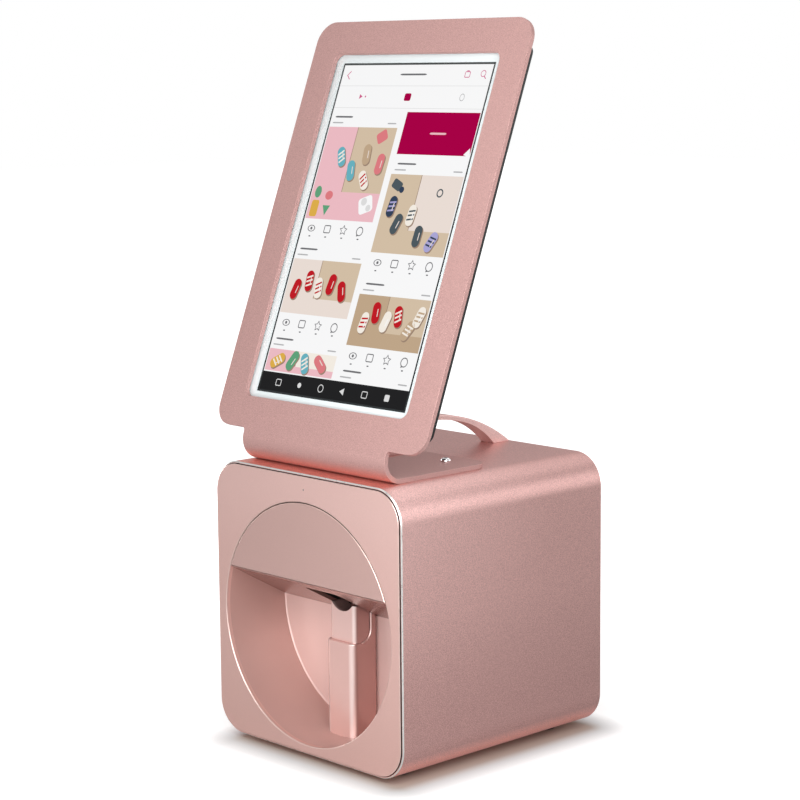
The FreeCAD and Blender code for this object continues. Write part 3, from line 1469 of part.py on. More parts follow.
def rear_case():
    """Black rear case of the tablet: a shallow tray with soft edges and openings for its keys."""
    body = new_body("rear_case")
    half, low, high = S["tablet_half"], -S["tablet_low"], S["tablet_high"]
    deep = S["tablet_depth"]
    wall = 1.4
    tray = Draft(body, "Tray", "XY", lift=-deep)
    tray.box(-half, half, low, high, 6.0)
    pad(body, tray, deep - 2.5)
    dress(body, "Chamfer", 0.8, flat_at("Z", -deep))
    inside = Draft(body, "Inside", "XY", lift=-2.5)
    inside.cut_box(-half + wall, half - wall, low + wall, high - wall, 3.0)
    pocket(body, inside, deep - 2.5 - wall)
    keys = Draft(body, "KeySlots", "XZ", lift=-(high + 1))
    keys.box(POWER_KEY_X - 5.1, POWER_KEY_X + 5.1, KEY_LEVEL - 1.2, KEY_LEVEL + 1.2)
    keys.box(VOLUME_X - 10.1, VOLUME_X + 10.1, KEY_LEVEL - 1.2, KEY_LEVEL + 1.2)
    keys.box(PORT_X - 4.6, PORT_X + 4.6, KEY_LEVEL - 1.5, KEY_LEVEL + 1.5)
    pocket(body, keys, 3.0, back=True)
    speaker = Draft(body, "SpeakerSlots", "XY", lift=-deep - 1)
    for number in range(6):
        x = -30 + 5.0 * number
        speaker.box(x - 0.8, x + 0.8, 14, 24)
    speaker.box(67, 73, high - 19, high - 13)
    pocket(body, speaker, wall + 1, back=True)
    return lean(body)


POWER_KEY_X = 62.0
VOLUME_X = 38.0
PORT_X = 8.0
KEY_LEVEL = -6.0


def tablet_key(label, centre, half_length):
    """A narrow key in the tablet's upper edge, with an inner flange that keeps it in."""
    body = new_body(label)
    high = S["tablet_high"]
    wall = 1.4
    cap = Draft(body, "Cap", "XZ", lift=-(high + 0.7))
    cap.box(centre - half_length, centre + half_length, KEY_LEVEL - 1.05, KEY_LEVEL + 1.05)
    pad(body, cap, wall + 1.2)
    flange = Draft(body, "Flange", "XZ", lift=-(high - wall - 0.35))
    flange.box(centre - half_length - 1, centre + half_length + 1, KEY_LEVEL - 1.9,
               KEY_LEVEL + 1.9)
    pad(body, flange, 1.0)
    return lean(body)


def tablet_battery():
    """Flat battery pack of the tablet."""
    body = new_body("tablet_battery")
    pack = Draft(body, "Pack", "XY", lift=-8.2)
    pack.box(-78, 78, 30, 150)
    pad(body, pack, 4.2)
    return lean(body)


def tablet_board():
    """Circuit board of the tablet with its shielded parts and edge socket."""
    body = new_body("tablet_board")
    board = Draft(body, "Board", "XY", lift=-5.0)
    board.box(-78, 78, 160, 226)
    pad(body, board, 0.9)
    cans = Draft(body, "Cans", "XY", lift=-7.4)
    cans.box(-60, -30, 176, 206)
    cans.box(-20, 12, 170, 196)
    cans.box(30, 60, 172, 200)
    pad(body, cans, 2.6)
    return lean(body)


# ---------------------------------------------------------------- build, check and write

BUILDERS = [
    outer_shell, front_panel, hand_bowl, hood_ceiling, print_shroud, finger_post, finger_rest,
    guide_pins, rest_spring, brow_cover, cover_seat, cover_magnets, status_lamp, base_chassis,
    frame_crossbar, y_rods, y_motor, lead_screw, stage_frame, stage_bearings, x_rods, x_motor,
    idler_socket, x_belt, x_carriage, ink_cartridge, service_station, camera_module, nail_lamp,
    rear_panel, switch_housing, power_rocker, power_inlet, usb_socket, fan_frame, fan_rotor,
    main_board, board_pillars, tie_posts, rear_screws, feet, foot_screws, carry_handle,
    handle_screws, tablet_bracket, bracket_screws, tablet_tape, front_bezel, display_panel,
    rear_case, tablet_battery, tablet_board,
]


def build_all():
    """Builds every sub-part."""
    nodes = [builder() for builder in BUILDERS]
    nodes.append(frame_side("frame_side_left", -1))
    nodes.append(frame_side("frame_side_right", 1))
    nodes.append(pulley("drive_pulley", 1, 14.0))
    nodes.append(pulley("idler_pulley", -1, 9.0))
    nodes.append(tablet_key("tablet_power_key", POWER_KEY_X, 5.0))
    nodes.append(tablet_key("tablet_volume_key", VOLUME_X, 10.0))
    doc.recompute()
    return nodes


def check_and_write(nodes):
    """Stops at any failed object or invalid shape, then writes one STEP file per node."""
    for thing in doc.Objects:
        if "Invalid" in thing.State or "Error" in thing.State:
            raise RuntimeError(f"{thing.Name} ({thing.Label}) failed: {thing.State}")
    for node in nodes:
        if node.Shape.isNull() or not node.Shape.isValid() or not node.Shape.Solids:
            raise RuntimeError(f"{node.Label} has no valid solid")
    os.makedirs("parts", exist_ok=True)
    for node in nodes:
        node.Shape.exportStep(f"parts/{node.Label}.step")


check_and_write(build_all())
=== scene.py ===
"""Looks of a digital nail art printer: satin rose-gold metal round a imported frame.

The frame's own axes are used throughout: +Z up, the front faces -Y.  Sizes of the machine are
millimetres, which the shop's tools turn into metres.  The studio is in metres and watts.
"""
import json
import logging
import math
from dataclasses import dataclass, field
from enum import Enum, IntEnum
from typing import Callable, Dict, List, Sequence, Tuple

import bmesh
import bpy
from mathutils import Matrix, Vector

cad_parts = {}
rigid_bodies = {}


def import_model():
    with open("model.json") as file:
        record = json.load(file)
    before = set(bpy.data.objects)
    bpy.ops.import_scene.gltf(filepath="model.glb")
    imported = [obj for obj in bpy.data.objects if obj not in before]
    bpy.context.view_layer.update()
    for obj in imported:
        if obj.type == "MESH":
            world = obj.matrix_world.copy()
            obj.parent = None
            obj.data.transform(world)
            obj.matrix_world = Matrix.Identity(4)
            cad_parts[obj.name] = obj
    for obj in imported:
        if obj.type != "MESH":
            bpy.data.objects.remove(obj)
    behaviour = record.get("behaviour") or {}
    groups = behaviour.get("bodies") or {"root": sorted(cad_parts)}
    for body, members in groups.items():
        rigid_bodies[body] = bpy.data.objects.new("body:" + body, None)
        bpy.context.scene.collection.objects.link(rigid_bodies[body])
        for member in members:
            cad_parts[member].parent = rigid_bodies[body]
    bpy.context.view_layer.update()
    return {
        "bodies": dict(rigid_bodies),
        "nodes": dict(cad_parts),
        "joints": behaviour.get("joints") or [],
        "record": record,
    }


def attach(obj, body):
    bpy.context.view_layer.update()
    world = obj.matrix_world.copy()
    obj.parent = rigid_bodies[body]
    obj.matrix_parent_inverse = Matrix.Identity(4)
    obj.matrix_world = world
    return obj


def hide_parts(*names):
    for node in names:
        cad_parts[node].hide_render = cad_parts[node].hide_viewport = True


LOG = logging.getLogger("nail_printer")
MM = 0.001
# Ends of the housing: front face, rear face, underside and top.
FRONT, REAR, FLOOR, TOP = -89.2, 89.2, 3.0, 181.4
# Directions are parallel above this cosine, and places are the same within this distance.
PARALLEL, NEAR = 0.999, 0.01
Colour = Tuple[float, float, float]
Point = Tuple[float, float, float]
Span = Tuple[float, float]
Thing = bpy.types.Object
Socket = bpy.types.NodeSocket
Test = Callable[[Vector, Vector], bool]


# ---------------------------------------------------------------- finishes

# Sockets of the mixing node: two numbers, two colours and the mixed colour.
FIRST_NUMBER, SECOND_NUMBER, FIRST_COLOUR, SECOND_COLOUR, MIXED_COLOUR = "2", "3", 6, 7, 2
# Range that most values of a noise fall in.
NOISE_RANGE = (0.3, 0.7)
ROSE_GLINT = (1.0, 0.74, 0.71, 1.0)
WHITE_LIGHT = (1.0, 1.0, 1.0, 1.0)


class Graph:
    """Short way to lay out the nodes of one material, or of the world."""

    def __init__(self, name: str, group: object = None) -> None:
        """Starts a material or a world with its surface shader.

        Args:
            name: Name of the material or world.
            group: Where it is kept; with the materials if nothing is given.
        """
        self.owner = (bpy.data.materials if group is None else group).new(name)
        self.owner.use_nodes = True
        self.nodes = self.owner.node_tree.nodes
        self.links = self.owner.node_tree.links
        self.shader = self.nodes.get("Principled BSDF") or self.nodes["Background"]

    @property
    def place(self) -> Socket:
        """Gives the place on the piece."""
        node = self.nodes.get("Texture Coordinate") or self.nodes.new("ShaderNodeTexCoord")
        return node.outputs["Object"]

    def node(self, kind: str, inputs: Dict[str, object], **settings: object) -> bpy.types.Node:
        """Adds a node, sets it and links what is given as a socket.

        Args:
            kind: Blender's name of the node.
            inputs: Value or socket for each input, by its name or number.
            **settings: Properties of the node.

        Returns:
            The new node.
        """
        made = self.nodes.new(kind)
        for key, value in settings.items():
            setattr(made, key, value)
        for key, value in inputs.items():
            self.feed(made.inputs[int(key)] if key.isdigit() else made.inputs[key], value)
        return made

    def feed(self, socket: Socket, value: object) -> None:
        """Links a socket to an input, or sets the input's own value.

        Args:
            socket: The input.
            value: A socket, or a value of the input's kind.
        """
        if isinstance(value, bpy.types.NodeSocket):
            self.links.new(value, socket)
        else:
            socket.default_value = value

    def noise(self, scale: float, detail: float = 2.0) -> Socket:
        """Gives fine noise in the piece's own space."""
        return self.node("ShaderNodeTexNoise", {
            "Vector": self.place, "Scale": scale, "Detail": detail}).outputs["Fac"]

    def coordinate(self, letter: str) -> Socket:
        """Gives the X, Y or Z of the place on the piece."""
        return self.node("ShaderNodeSeparateXYZ", {"Vector": self.place}).outputs[letter]

    def ramp(self, value: Socket, low: float, high: float, to_low: float = 0.0,
             to_high: float = 1.0) -> Socket:
        """Maps a range of a value to another range.

        Args:
            value: The value.
            low: Start of its range.
            high: End of its range.
            to_low: What the start becomes, and all before it.
            to_high: What the end becomes, and all beyond it.

        Returns:
            The mapped value.
        """
        made = self.node("ShaderNodeMapRange", {
            "Value": value, "From Min": low, "From Max": high, "To Min": to_low,
            "To Max": to_high})
        return made.outputs["Result"]

    def fade(self, value: Socket, span: Span) -> Socket:
        """Rises from 0 to 1 over a span in millimetres."""
        return self.ramp(value, span[0] * MM, span[1] * MM)

    def figure(self, operation: str, first: object, second: object = 0.0) -> Socket:
        """Works out one number from one or two others."""
        return self.node("ShaderNodeMath", {"0": first, "1": second},
                         operation=operation).outputs[0]

    def between(self, amount: Socket, low: object, high: object) -> Socket:
        """Gives a number between two others, by an amount."""
        return self.node("ShaderNodeMix", {
            "0": amount, FIRST_NUMBER: low, SECOND_NUMBER: high}, data_type="FLOAT").outputs[0]

    def tint(self, amount: Socket, low: object, high: object, way: str = "MIX") -> Socket:
        """Mixes two colours.

        Args:
            amount: Share of the second colour.
            low: First colour, or a socket that gives it.
            high: Second colour, or a socket that gives it.
            way: Blender's name of the way they mix.

        Returns:
            The mixed colour.
        """
        made = self.node("ShaderNodeMix", {"0": amount}, data_type="RGBA", blend_type=way)
        for number, colour in ((FIRST_COLOUR, low), (SECOND_COLOUR, high)):
            self.feed(made.inputs[number], (*colour, 1.0) if isinstance(colour, tuple) else colour)
        return made.outputs[MIXED_COLOUR]

    def bump(self, height: Socket, depth: float, strength: float) -> None:
        """Raises the surface by a height, in its shading only.

        Args:
            height: The height, from 0 to 1.
            depth: What a height of 1 is in metres.
            strength: How much of it shows.
        """
        made = self.node("ShaderNodeBump", {
            "Height": height, "Distance": depth, "Strength": strength})
        self.set(Normal=made.outputs["Normal"])

    def set(self, **values: object) -> None:
        """Sets or links inputs of the shader; underscores stand for spaces."""
        for key, value in values.items():
            self.feed(self.shader.inputs[key.replace("_", " ")], value)

    def background_rays(self, mirrors: float) -> Socket:
        """Tells the camera's view, also through clear panes and in mirrors, from other light.

        Args:
            mirrors: How bright glossy surfaces see it.

        Returns:
            A number that is 1 for the camera and clear panes, and 0 for other light.
        """
        path = self.node("ShaderNodeLightPath", {}).outputs
        mirrored = self.figure("MULTIPLY", path["Is Glossy Ray"], mirrors)
        direct = self.figure("MAXIMUM", path["Is Camera Ray"], mirrored)
        return self.figure("MAXIMUM", direct, path["Is Transmission Ray"])


def scaled(colour: Colour, factor: float) -> Colour:
    """Gives a lighter or darker colour."""
    return tuple(min(1.0, part * factor) for part in colour)


@dataclass(frozen=True)
class Coating:
    """What every finish has: a name, a colour and its own way to set the shader."""

    name: str
    colour: Colour

    def make(self) -> bpy.types.Material:
        """Builds the material.

        Returns:
            The material.
        """
        graph = Graph(self.name)
        self.lay(graph)
        return graph.owner

    def lay(self, graph: Graph) -> None:
        """Sets the shader; each kind of finish does it in its own way."""
        raise NotImplementedError(self.name)


@dataclass(frozen=True)
class Anodised(Coating):
    """Anodised metal: fine blasting, a little sparkle and slow cloudiness.

    Bands paint light and shade into the colour: each multiplies it by its own over a y and a z
    range.
    """

    roughness: float
    grain: float
    depth: float
    sparkle: float = 0.05
    metallic: float = 0.9
    painted_light_bands: Tuple[Tuple[Colour, Span, Span], ...] = ()

    def lay(self, graph: Graph) -> None:
        """Sets the shader of blasted metal.

        Args:
            graph: Nodes of the material.
        """
        fine = graph.noise(self.grain, 1.0)
        cloud = graph.noise(9.0)
        colour = graph.tint(graph.ramp(fine, *NOISE_RANGE), scaled(self.colour, 1 - self.sparkle),
                            scaled(self.colour, 1 + self.sparkle))
        # Each band is a painted highlight, painted shade or painted reflection.
        for painted_factor, across, up in self.painted_light_bands:
            share = graph.figure("MULTIPLY", graph.fade(graph.coordinate("Y"), across),
                                 graph.fade(graph.coordinate("Z"), up))
            colour = graph.tint(share, colour, painted_factor, "MULTIPLY")
        graph.set(Base_Color=colour, Metallic=self.metallic, Specular_IOR_Level=0.3,
                  Specular_Tint=ROSE_GLINT, Roughness=graph.ramp(
                      cloud, *NOISE_RANGE, self.roughness - 0.025, self.roughness + 0.025))
        graph.bump(fine, self.depth * MM, 0.6)


@dataclass(frozen=True)
class Polished(Coating):
    """Bare metal: bright cut faces, ground rods, screws and plated sheet."""

    roughness: float
    streak: float = 0.0

    def lay(self, graph: Graph) -> None:
        """Sets the shader of bare metal.

        Args:
            graph: Nodes of the material.
        """
        wear = graph.noise(260.0, 3.0)
        graph.set(Base_Color=(*self.colour, 1.0), Metallic=1.0, Roughness=graph.ramp(
            wear, *NOISE_RANGE, self.roughness * 0.8, self.roughness * 1.25))
        if self.streak:
            graph.bump(wear, self.streak * MM, 0.4)


@dataclass(frozen=True)
class Moulded(Coating):
    """Moulded or lacquered plastic, or rubber, with a fine grain."""

    roughness: float
    grain: float = 1500.0
    depth: float = 0.02
    coat: float = 0.0
    metallic: float = 0.0
    spread: float = 0.06

    def lay(self, graph: Graph) -> None:
        """Sets the shader of plastic, lacquer or rubber.

        Args:
            graph: Nodes of the material.
        """
        fine = graph.noise(self.grain)
        cloud = graph.noise(14.0)
        colour = graph.tint(graph.ramp(cloud, 0.35, 0.65), scaled(self.colour, 1 - self.spread),
                            self.colour)
        graph.set(Base_Color=colour, Metallic=self.metallic, Coat_Weight=self.coat,
                  Coat_Roughness=0.2, Roughness=graph.ramp(
                      cloud, *NOISE_RANGE, self.roughness - 0.03, self.roughness + 0.03))
        graph.bump(fine, self.depth * MM, 0.5)


@dataclass(frozen=True)
class Upright(Coating):
    """Satin lacquer of an upright block: painted highlight on its front roundings, painted shade
    on its flanks.

    The painted highlight comes in over a span of the distance from the middle, and the painted
    shade over a span of y.
    """

    # Colours of the painted highlight on the roundings and of the painted shade on the flanks.
    edge: Colour
    painted_flank_shade: Colour
    wide: Span
    deep: Span
    roughness: float = 0.27

    def lay(self, graph: Graph) -> None:
        """Sets the shader of the lacquer.

        Args:
            graph: Nodes of the material.
        """
        side = graph.figure("ABSOLUTE", graph.coordinate("X"))
        # Painted highlight towards the roundings, then painted shade on the flanks.
        front = graph.tint(graph.fade(side, self.wide), self.colour, self.edge)
        colour = graph.tint(graph.fade(graph.coordinate("Y"), self.deep), front, self.painted_flank_shade)
        graph.set(Base_Color=colour, Metallic=0.5, Roughness=self.roughness, Coat_Weight=0.3,
                  Coat_Roughness=0.3)


@dataclass(frozen=True)
class Glow(Coating):
    """A lit area of the display, seen through its glass."""

    light: float = 0.95

    def lay(self, graph: Graph) -> None:
        """Sets the shader of a lit area.

        Args:
            graph: Nodes of the material.
        """
        graph.set(Base_Color=(*scaled(self.colour, 0.03), 1.0), Roughness=0.35,
                  Emission_Color=(*self.colour, 1.0), Emission_Strength=self.light,
                  Specular_IOR_Level=0.0)


class Finish(Enum):
    """Every finish of the machine."""

    # Painted light on the shell: a painted highlight high at the front, painted shade lower down,
    # a painted reflection of the floor on the bottom rounding, and a red painted reflection of the
    # bend on the top under it.
    SHELL = Anodised("blasted_rose_shell", (0.62, 0.375, 0.353), 0.34, 1700.0, 0.16, 0.22, 0.62,
                     (((1.23, 1.28, 1.29), (40.0, -85.0), (60.0, 165.0)),
                      ((0.83, 0.82, 0.82), (90.0, 89.5), (105.0, 35.0)),
                      ((1.65, 1.46, 1.42), (90.0, 89.5), (17.0, 10.0)),
                      ((1.02, 0.74, 0.66), (-60.0, -72.0), (181.0, 181.3))))
    # Painted light on the front panel: lighter towards the top, painted shade towards the bottom.
    PANEL = Anodised("satin_rose_panel", (0.70, 0.452, 0.41), 0.34, 3200.0, 0.02, 0.03, 0.45,
                     (((1.07, 1.11, 1.13), (90.0, 89.5), (100.0, 165.0)),
                      ((0.93, 0.91, 0.90), (90.0, 89.5), (70.0, 15.0))))
    BROW = Anodised("satin_rose_brow", (0.625, 0.412, 0.377), 0.34, 3200.0, 0.02, 0.03, 0.5)
    # A lighter, redder band on the bend's lower roll just above the shell's top: painted bounce
    # light.
    SHEET = Anodised("satin_rose_sheet", (0.56, 0.335, 0.315), 0.43, 2100.0, 0.10, 0.17, 0.5,
                     (((1.43, 1.13, 1.02), (-72.0, -77.0), (189.0, 183.0)),))
    # A lighter copy of the rose anodising: painted light on the handle's top.
    HANDLE = Anodised("satin_rose_handle_painted_light", (0.90, 0.60, 0.57), 0.34, 1900.0, 0.08, 0.12, 0.45)
    # Polished rounded front edges; their lighter colour is also a painted highlight.
    RIM_HIGHLIGHT = Polished("polished_rose_edge_painted_highlight", (0.80, 0.60, 0.55), 0.36)
    # The bowl's back wears the lighter lacquer and its round wall a darker copy: painted shade on
    # the wall.
    LACQUER = Moulded("rose_lacquer", (0.90, 0.65, 0.605), 0.36, 2600.0, 0.010, 0.12, 0.2)
    BOWL_WALL_SHADE = Moulded("rose_bowl_wall_painted_shade", (0.56, 0.352, 0.317), 0.32, 2600.0, 0.010, 0.12, 0.35)
    # Post and saddle: a painted highlight on the front roundings and painted shade on the flanks.
    POST = Upright("rose_post", (0.88, 0.565, 0.515), (0.96, 0.75, 0.71), (0.52, 0.285, 0.255),
                   (8.2, 10.4), (FRONT + 28.6, FRONT + 31.0))
    REST = Upright("rose_rest", (0.99, 0.67, 0.62), (0.98, 0.78, 0.74), (0.49, 0.27, 0.245),
                   (8.4, 10.0), (FRONT + 31.2, FRONT + 33.0))
    # Lighter lacquer on the upstand's rounded edges: a painted highlight.
    POST_HIGHLIGHT = Moulded("rose_post_painted_highlight", (0.96, 0.72, 0.68), 0.30, 2600.0, 0.001, 0.6, 0.7, 0.02)
    # A much darker copy of the rose lacquer: painted shade on the ceiling under the hood.
    CEILING = Moulded("rose_lacquer_gloss_painted_shade", (0.42, 0.225, 0.195), 0.26, 2600.0, 0.008, 0.2, 0.6)
    CUT = Polished("bright_cut_edge", (0.74, 0.75, 0.73), 0.3)
    # Near-black side faces of the panel and brow: painted shade in the gap round them.
    GAP_SHADE = Moulded("painted_gap_shade", (0.045, 0.025, 0.022), 0.5, 2200.0, 0.01)
    CHROME = Polished("polished_screw", (0.90, 0.90, 0.91), 0.09)
    GROUND = Polished("ground_rod", (0.80, 0.80, 0.81), 0.18)
    PLATED = Polished("plated_sheet", (0.62, 0.63, 0.64), 0.34, 0.03)
    ALLOY = Polished("turned_alloy", (0.78, 0.78, 0.78), 0.28)
    BLACK = Moulded("black_moulding", (0.012, 0.012, 0.013), 0.46, 2200.0, 0.03)
    PITCH = Moulded("dull_black", (0.003, 0.003, 0.003), 0.8, 2200.0, 0.03)
    CASE = Moulded("tablet_case", (0.010, 0.010, 0.011), 0.38, 2600.0, 0.02)
    RUBBER = Moulded("soft_rubber", (0.018, 0.018, 0.018), 0.72, 900.0, 0.05)
    WHITE = Moulded("white_border", (0.74, 0.81, 0.82), 0.25, 900.0, 0.004, 0.1, 0.0, 0.02)
    NATURAL = Moulded("bearing_plastic", (0.72, 0.70, 0.64), 0.42, 1200.0, 0.03)
    CIRCUIT = Moulded("circuit_board", (0.015, 0.13, 0.05), 0.35, 700.0, 0.03, 0.2)
    CELLS = Moulded("wrapped_cells", (0.05, 0.05, 0.055), 0.32, 300.0, 0.05)
    LAMP = Moulded("light_guide", (0.55, 0.55, 0.52), 0.25, 900.0, 0.01)
    INK_TANK = Moulded("ink_tank", (0.02, 0.02, 0.024), 0.40, 1800.0, 0.03)
    DARK_GLASS = Moulded("display_edge", (0.004, 0.008, 0.009), 0.12, 900.0, 0.001)
    PAGE = Glow("lit_page", (0.94, 0.94, 0.945))
    BAR = Glow("lit_bar", (0.017, 0.017, 0.018))
    RULE = Glow("lit_rule", (0.72, 0.72, 0.72))
    LINE = Glow("lit_line", (0.16, 0.16, 0.17))
    PALE = Glow("lit_pale_line", (0.46, 0.46, 0.47))
    CRIMSON = Glow("lit_crimson", (0.386, 0.0006, 0.060))
    ROSE_LINE = Glow("lit_rose_line", (0.62, 0.10, 0.25))
    BEIGE = Glow("lit_beige", (0.65, 0.52, 0.38))
    SAND = Glow("lit_sand", (0.52, 0.38, 0.25))
    PAPER = Glow("lit_paper", (0.82, 0.72, 0.66))
    BLUSH = Glow("lit_blush", (0.84, 0.50, 0.55))
    SHADE = Glow("lit_shade", (0.33, 0.23, 0.17))
    NAVY = Glow("lit_navy", (0.035, 0.055, 0.10))
    SLATE = Glow("lit_slate", (0.075, 0.10, 0.115))
    LILAC = Glow("lit_lilac", (0.40, 0.38, 0.66))
    TEAL = Glow("lit_teal", (0.14, 0.44, 0.52))
    CREAM = Glow("lit_cream", (0.90, 0.84, 0.76))
    RED = Glow("lit_red", (0.52, 0.012, 0.020))
    CORAL = Glow("lit_coral", (0.72, 0.20, 0.22))
    OCHRE = Glow("lit_ochre", (0.72, 0.42, 0.07))
    LEAF = Glow("lit_leaf", (0.12, 0.36, 0.20))

    def material(self) -> bpy.types.Material:
        """Gives the finish's material, made once."""
        made = bpy.data.materials.get(self.value.name)
        return made or self.value.make()


# Nodes of the frame that wear each finish.
WORN_BY: Dict[Finish, str] = {
    Finish.SHELL: "outer_shell",
    Finish.PANEL: "front_panel rear_panel",
    Finish.BROW: "brow_cover",
    Finish.SHEET: "tablet_bracket",
    Finish.HANDLE: "carry_handle",
    Finish.LACQUER: "hand_bowl",
    Finish.CEILING: "hood_ceiling",
    Finish.POST: "finger_post finger_rest",
    Finish.CHROME: "rear_panel_screws foot_screws handle_screws bracket_screws",
    Finish.GROUND: "rest_guide_pins finger_rest_spring cover_magnets y_rods y_lead_screw x_rods",
    Finish.PLATED: "base_chassis frame_crossbar frame_side_left frame_side_right stage_frame "
                   "usb_socket",
    Finish.ALLOY: "board_pillars tie_posts drive_pulley idler_pulley",
    Finish.BLACK: "cover_seat y_motor x_motor x_carriage service_station camera_module "
                  "switch_housing power_rocker power_inlet fan_frame fan_rotor",
    Finish.PITCH: "print_shroud",
    Finish.CASE: "rear_case tablet_power_key tablet_volume_key",
    Finish.RUBBER: "x_belt feet tablet_tape",
    Finish.WHITE: "front_bezel",
    Finish.NATURAL: "stage_bearings idler_bush",
    Finish.CIRCUIT: "main_board tablet_board",
    Finish.CELLS: "tablet_battery",
    Finish.LAMP: "status_lamp nail_lamp",
    Finish.INK_TANK: "ink_cartridge",
    Finish.DARK_GLASS: "display_panel",
}
NODE_FINISHES = {name: finish for finish, names in WORN_BY.items() for name in names.split()}


def dress(thing: Thing, finish: Finish) -> None:
    """Gives an object one finish all over."""
    thing.data.materials.clear()
    thing.data.materials.append(finish.material())


# ---------------------------------------------------------------- tools of the shop

class Pick(Enum):
    """What a selection takes."""

    EDGES = "EDGE"
    FACES = "FACE"


def let_go() -> None:
    """Leaves edit mode, with nothing selected."""
    if bpy.context.object is not None and bpy.context.object.mode != "OBJECT":
        bpy.ops.object.mode_set(mode="OBJECT")
    bpy.ops.object.select_all(action="DESELECT")


def hold(*things: Thing) -> None:
    """Selects only these objects, with the first one active."""
    let_go()
    for thing in things:
        thing.select_set(True)
    bpy.context.view_layer.objects.active = things[0]


def named(name: str) -> Thing:
    """Names the primitive that was just added and fixes its place in its mesh.

    Args:
        name: Name of the piece and its mesh.

    Returns:
        The piece.
    """
    piece = bpy.context.active_object
    piece.name = piece.data.name = name
    bpy.ops.object.transform_apply(location=True, rotation=True, scale=True)
    return piece


def block(name: str, x: Span, y: Span, z: Span) -> Thing:
    """Adds a box.

    Args:
        name: Name of the piece.
        x: Low and high x.
        y: Low and high y.
        z: Low and high z.

    Returns:
        The box, in place.
    """
    let_go()
    middle = [(low + high) / 2 * MM for low, high in (x, y, z)]
    size = [(high - low) * MM for low, high in (x, y, z)]
    bpy.ops.mesh.primitive_cube_add(size=1.0, location=middle, scale=size)
    return named(name)


TURNS: Dict[str, Point] = {
    "X": (0.0, math.pi / 2, 0.0), "Y": (-math.pi / 2, 0.0, 0.0), "Z": (0.0, 0.0, 0.0)}


def round_bar(name: str, axis: str, start: Point, radius: float, length: float,
              sides: int = 48) -> Thing:
    """Adds a cylinder that starts at a point and runs along an axis.

    Args:
        name: Name of the piece.
        axis: X, Y or Z.
        start: Middle of its first end.
        radius: Its radius.
        length: Its length.
        sides: How many sides it has.

    Returns:
        The cylinder, in place.
    """
    let_go()
    middle = list(start)
    middle["XYZ".index(axis)] += length / 2
    bpy.ops.mesh.primitive_cylinder_add(
        vertices=sides, radius=radius * MM, depth=length * MM,
        location=[v * MM for v in middle], rotation=TURNS[axis])
    return named(name)


def along(axis: str) -> Test:
    """Gives a test for edges or normals along an axis.

    Args:
        axis: X, Y or Z.

    Returns:
        The test.
    """
    number = "XYZ".index(axis)
    return lambda place, way: abs(way[number]) > PARALLEL


def in_plane(axis: str, level: float) -> Test:
    """Gives a test for edges in a plane square to an axis.

    Args:
        axis: X, Y or Z.
        level: Place of the plane along the axis.

    Returns:
        The test.
    """
    number = "XYZ".index(axis)
    return lambda place, way: abs(place[number] - level) < NEAR and abs(way[number]) < NEAR


def all_of(*tests: Test) -> Test:
    """Joins tests into one, passed by what passes each of them."""
    return lambda place, way: all(test(place, way) for test in tests)


def open_up(piece: Thing) -> None:
    """Puts a piece in edit mode, with all of it selected.

    Args:
        piece: The piece.
    """
    hold(piece)
    bpy.ops.object.mode_set(mode="EDIT")
    bpy.ops.mesh.select_all(action="SELECT")


def work(piece: Thing, kind: str, **settings: object) -> None:
    """Applies a modifier to the piece that is held.

    Args:
        piece: The piece.
        kind: Blender's name of the modifier.
        **settings: Its settings.
    """
    tool = piece.modifiers.new(kind.lower(), kind)
    for key, value in settings.items():
        setattr(tool, key, value)
    bpy.ops.object.modifier_apply(modifier=tool.name)


def choose(piece: Thing, kind: Pick, test: Test) -> None:
    """Selects the faces or edges that pass a test, and stays in edit mode.

    Args:
        piece: The piece to work on.
        kind: Faces or edges.
        test: Takes the middle in millimetres, and a face's normal or an edge's direction.
    """
    hold(piece)
    bpy.ops.object.mode_set(mode="EDIT")
    bpy.ops.mesh.select_mode(type=kind.value)
    bpy.ops.mesh.select_all(action="DESELECT")
    mesh = bmesh.from_edit_mesh(piece.data)
    found = 0
    for item in (mesh.faces if kind is Pick.FACES else mesh.edges):
        if kind is Pick.FACES:
            place, way = item.calc_center_median(), item.normal
        else:
            first, last = (corner.co for corner in item.verts)
            place, way = (first + last) / 2, (last - first).normalized()
        if test(place / MM, way):
            item.select_set(True)
            found += 1
    if not found:
        raise RuntimeError(f"{piece.name}: nothing to select")
    bmesh.update_edit_mesh(piece.data)


def round_edges(piece: Thing, radius: float, steps: int, test: Test) -> None:
    """Bevels the edges that pass a test.

    Args:
        piece: The piece to work on.
        radius: Radius of the rounding, or width of a flat bevel.
        steps: Segments; one makes a flat bevel.
        test: Takes an edge's middle and direction.
    """
    choose(piece, Pick.EDGES, test)
    bpy.ops.mesh.bevel(offset=radius * MM, segments=steps, profile=0.5, affect="EDGES")
    let_go()


def carve(piece: Thing, cutters: Sequence[Thing], operation: str = "DIFFERENCE") -> None:
    """Cuts a piece with others, which are used up.

    Args:
        piece: The piece to cut.
        cutters: The pieces it is cut with.
        operation: DIFFERENCE, INTERSECT or UNION.
    """
    for cutter in cutters:
        hold(piece)
        work(piece, "BOOLEAN", operation=operation, object=cutter, solver="EXACT")
        bpy.data.meshes.remove(cutter.data)
    tidy(piece)


def tidy(piece: Thing) -> None:
    """Merges doubled corners, joins flat neighbouring faces and points all faces outwards.

    Args:
        piece: The piece.
    """
    open_up(piece)
    bpy.ops.mesh.remove_doubles(threshold=0.003 * MM)
    bpy.ops.mesh.dissolve_limited(angle_limit=math.radians(0.3))
    bpy.ops.mesh.normals_make_consistent(inside=False)
    let_go()


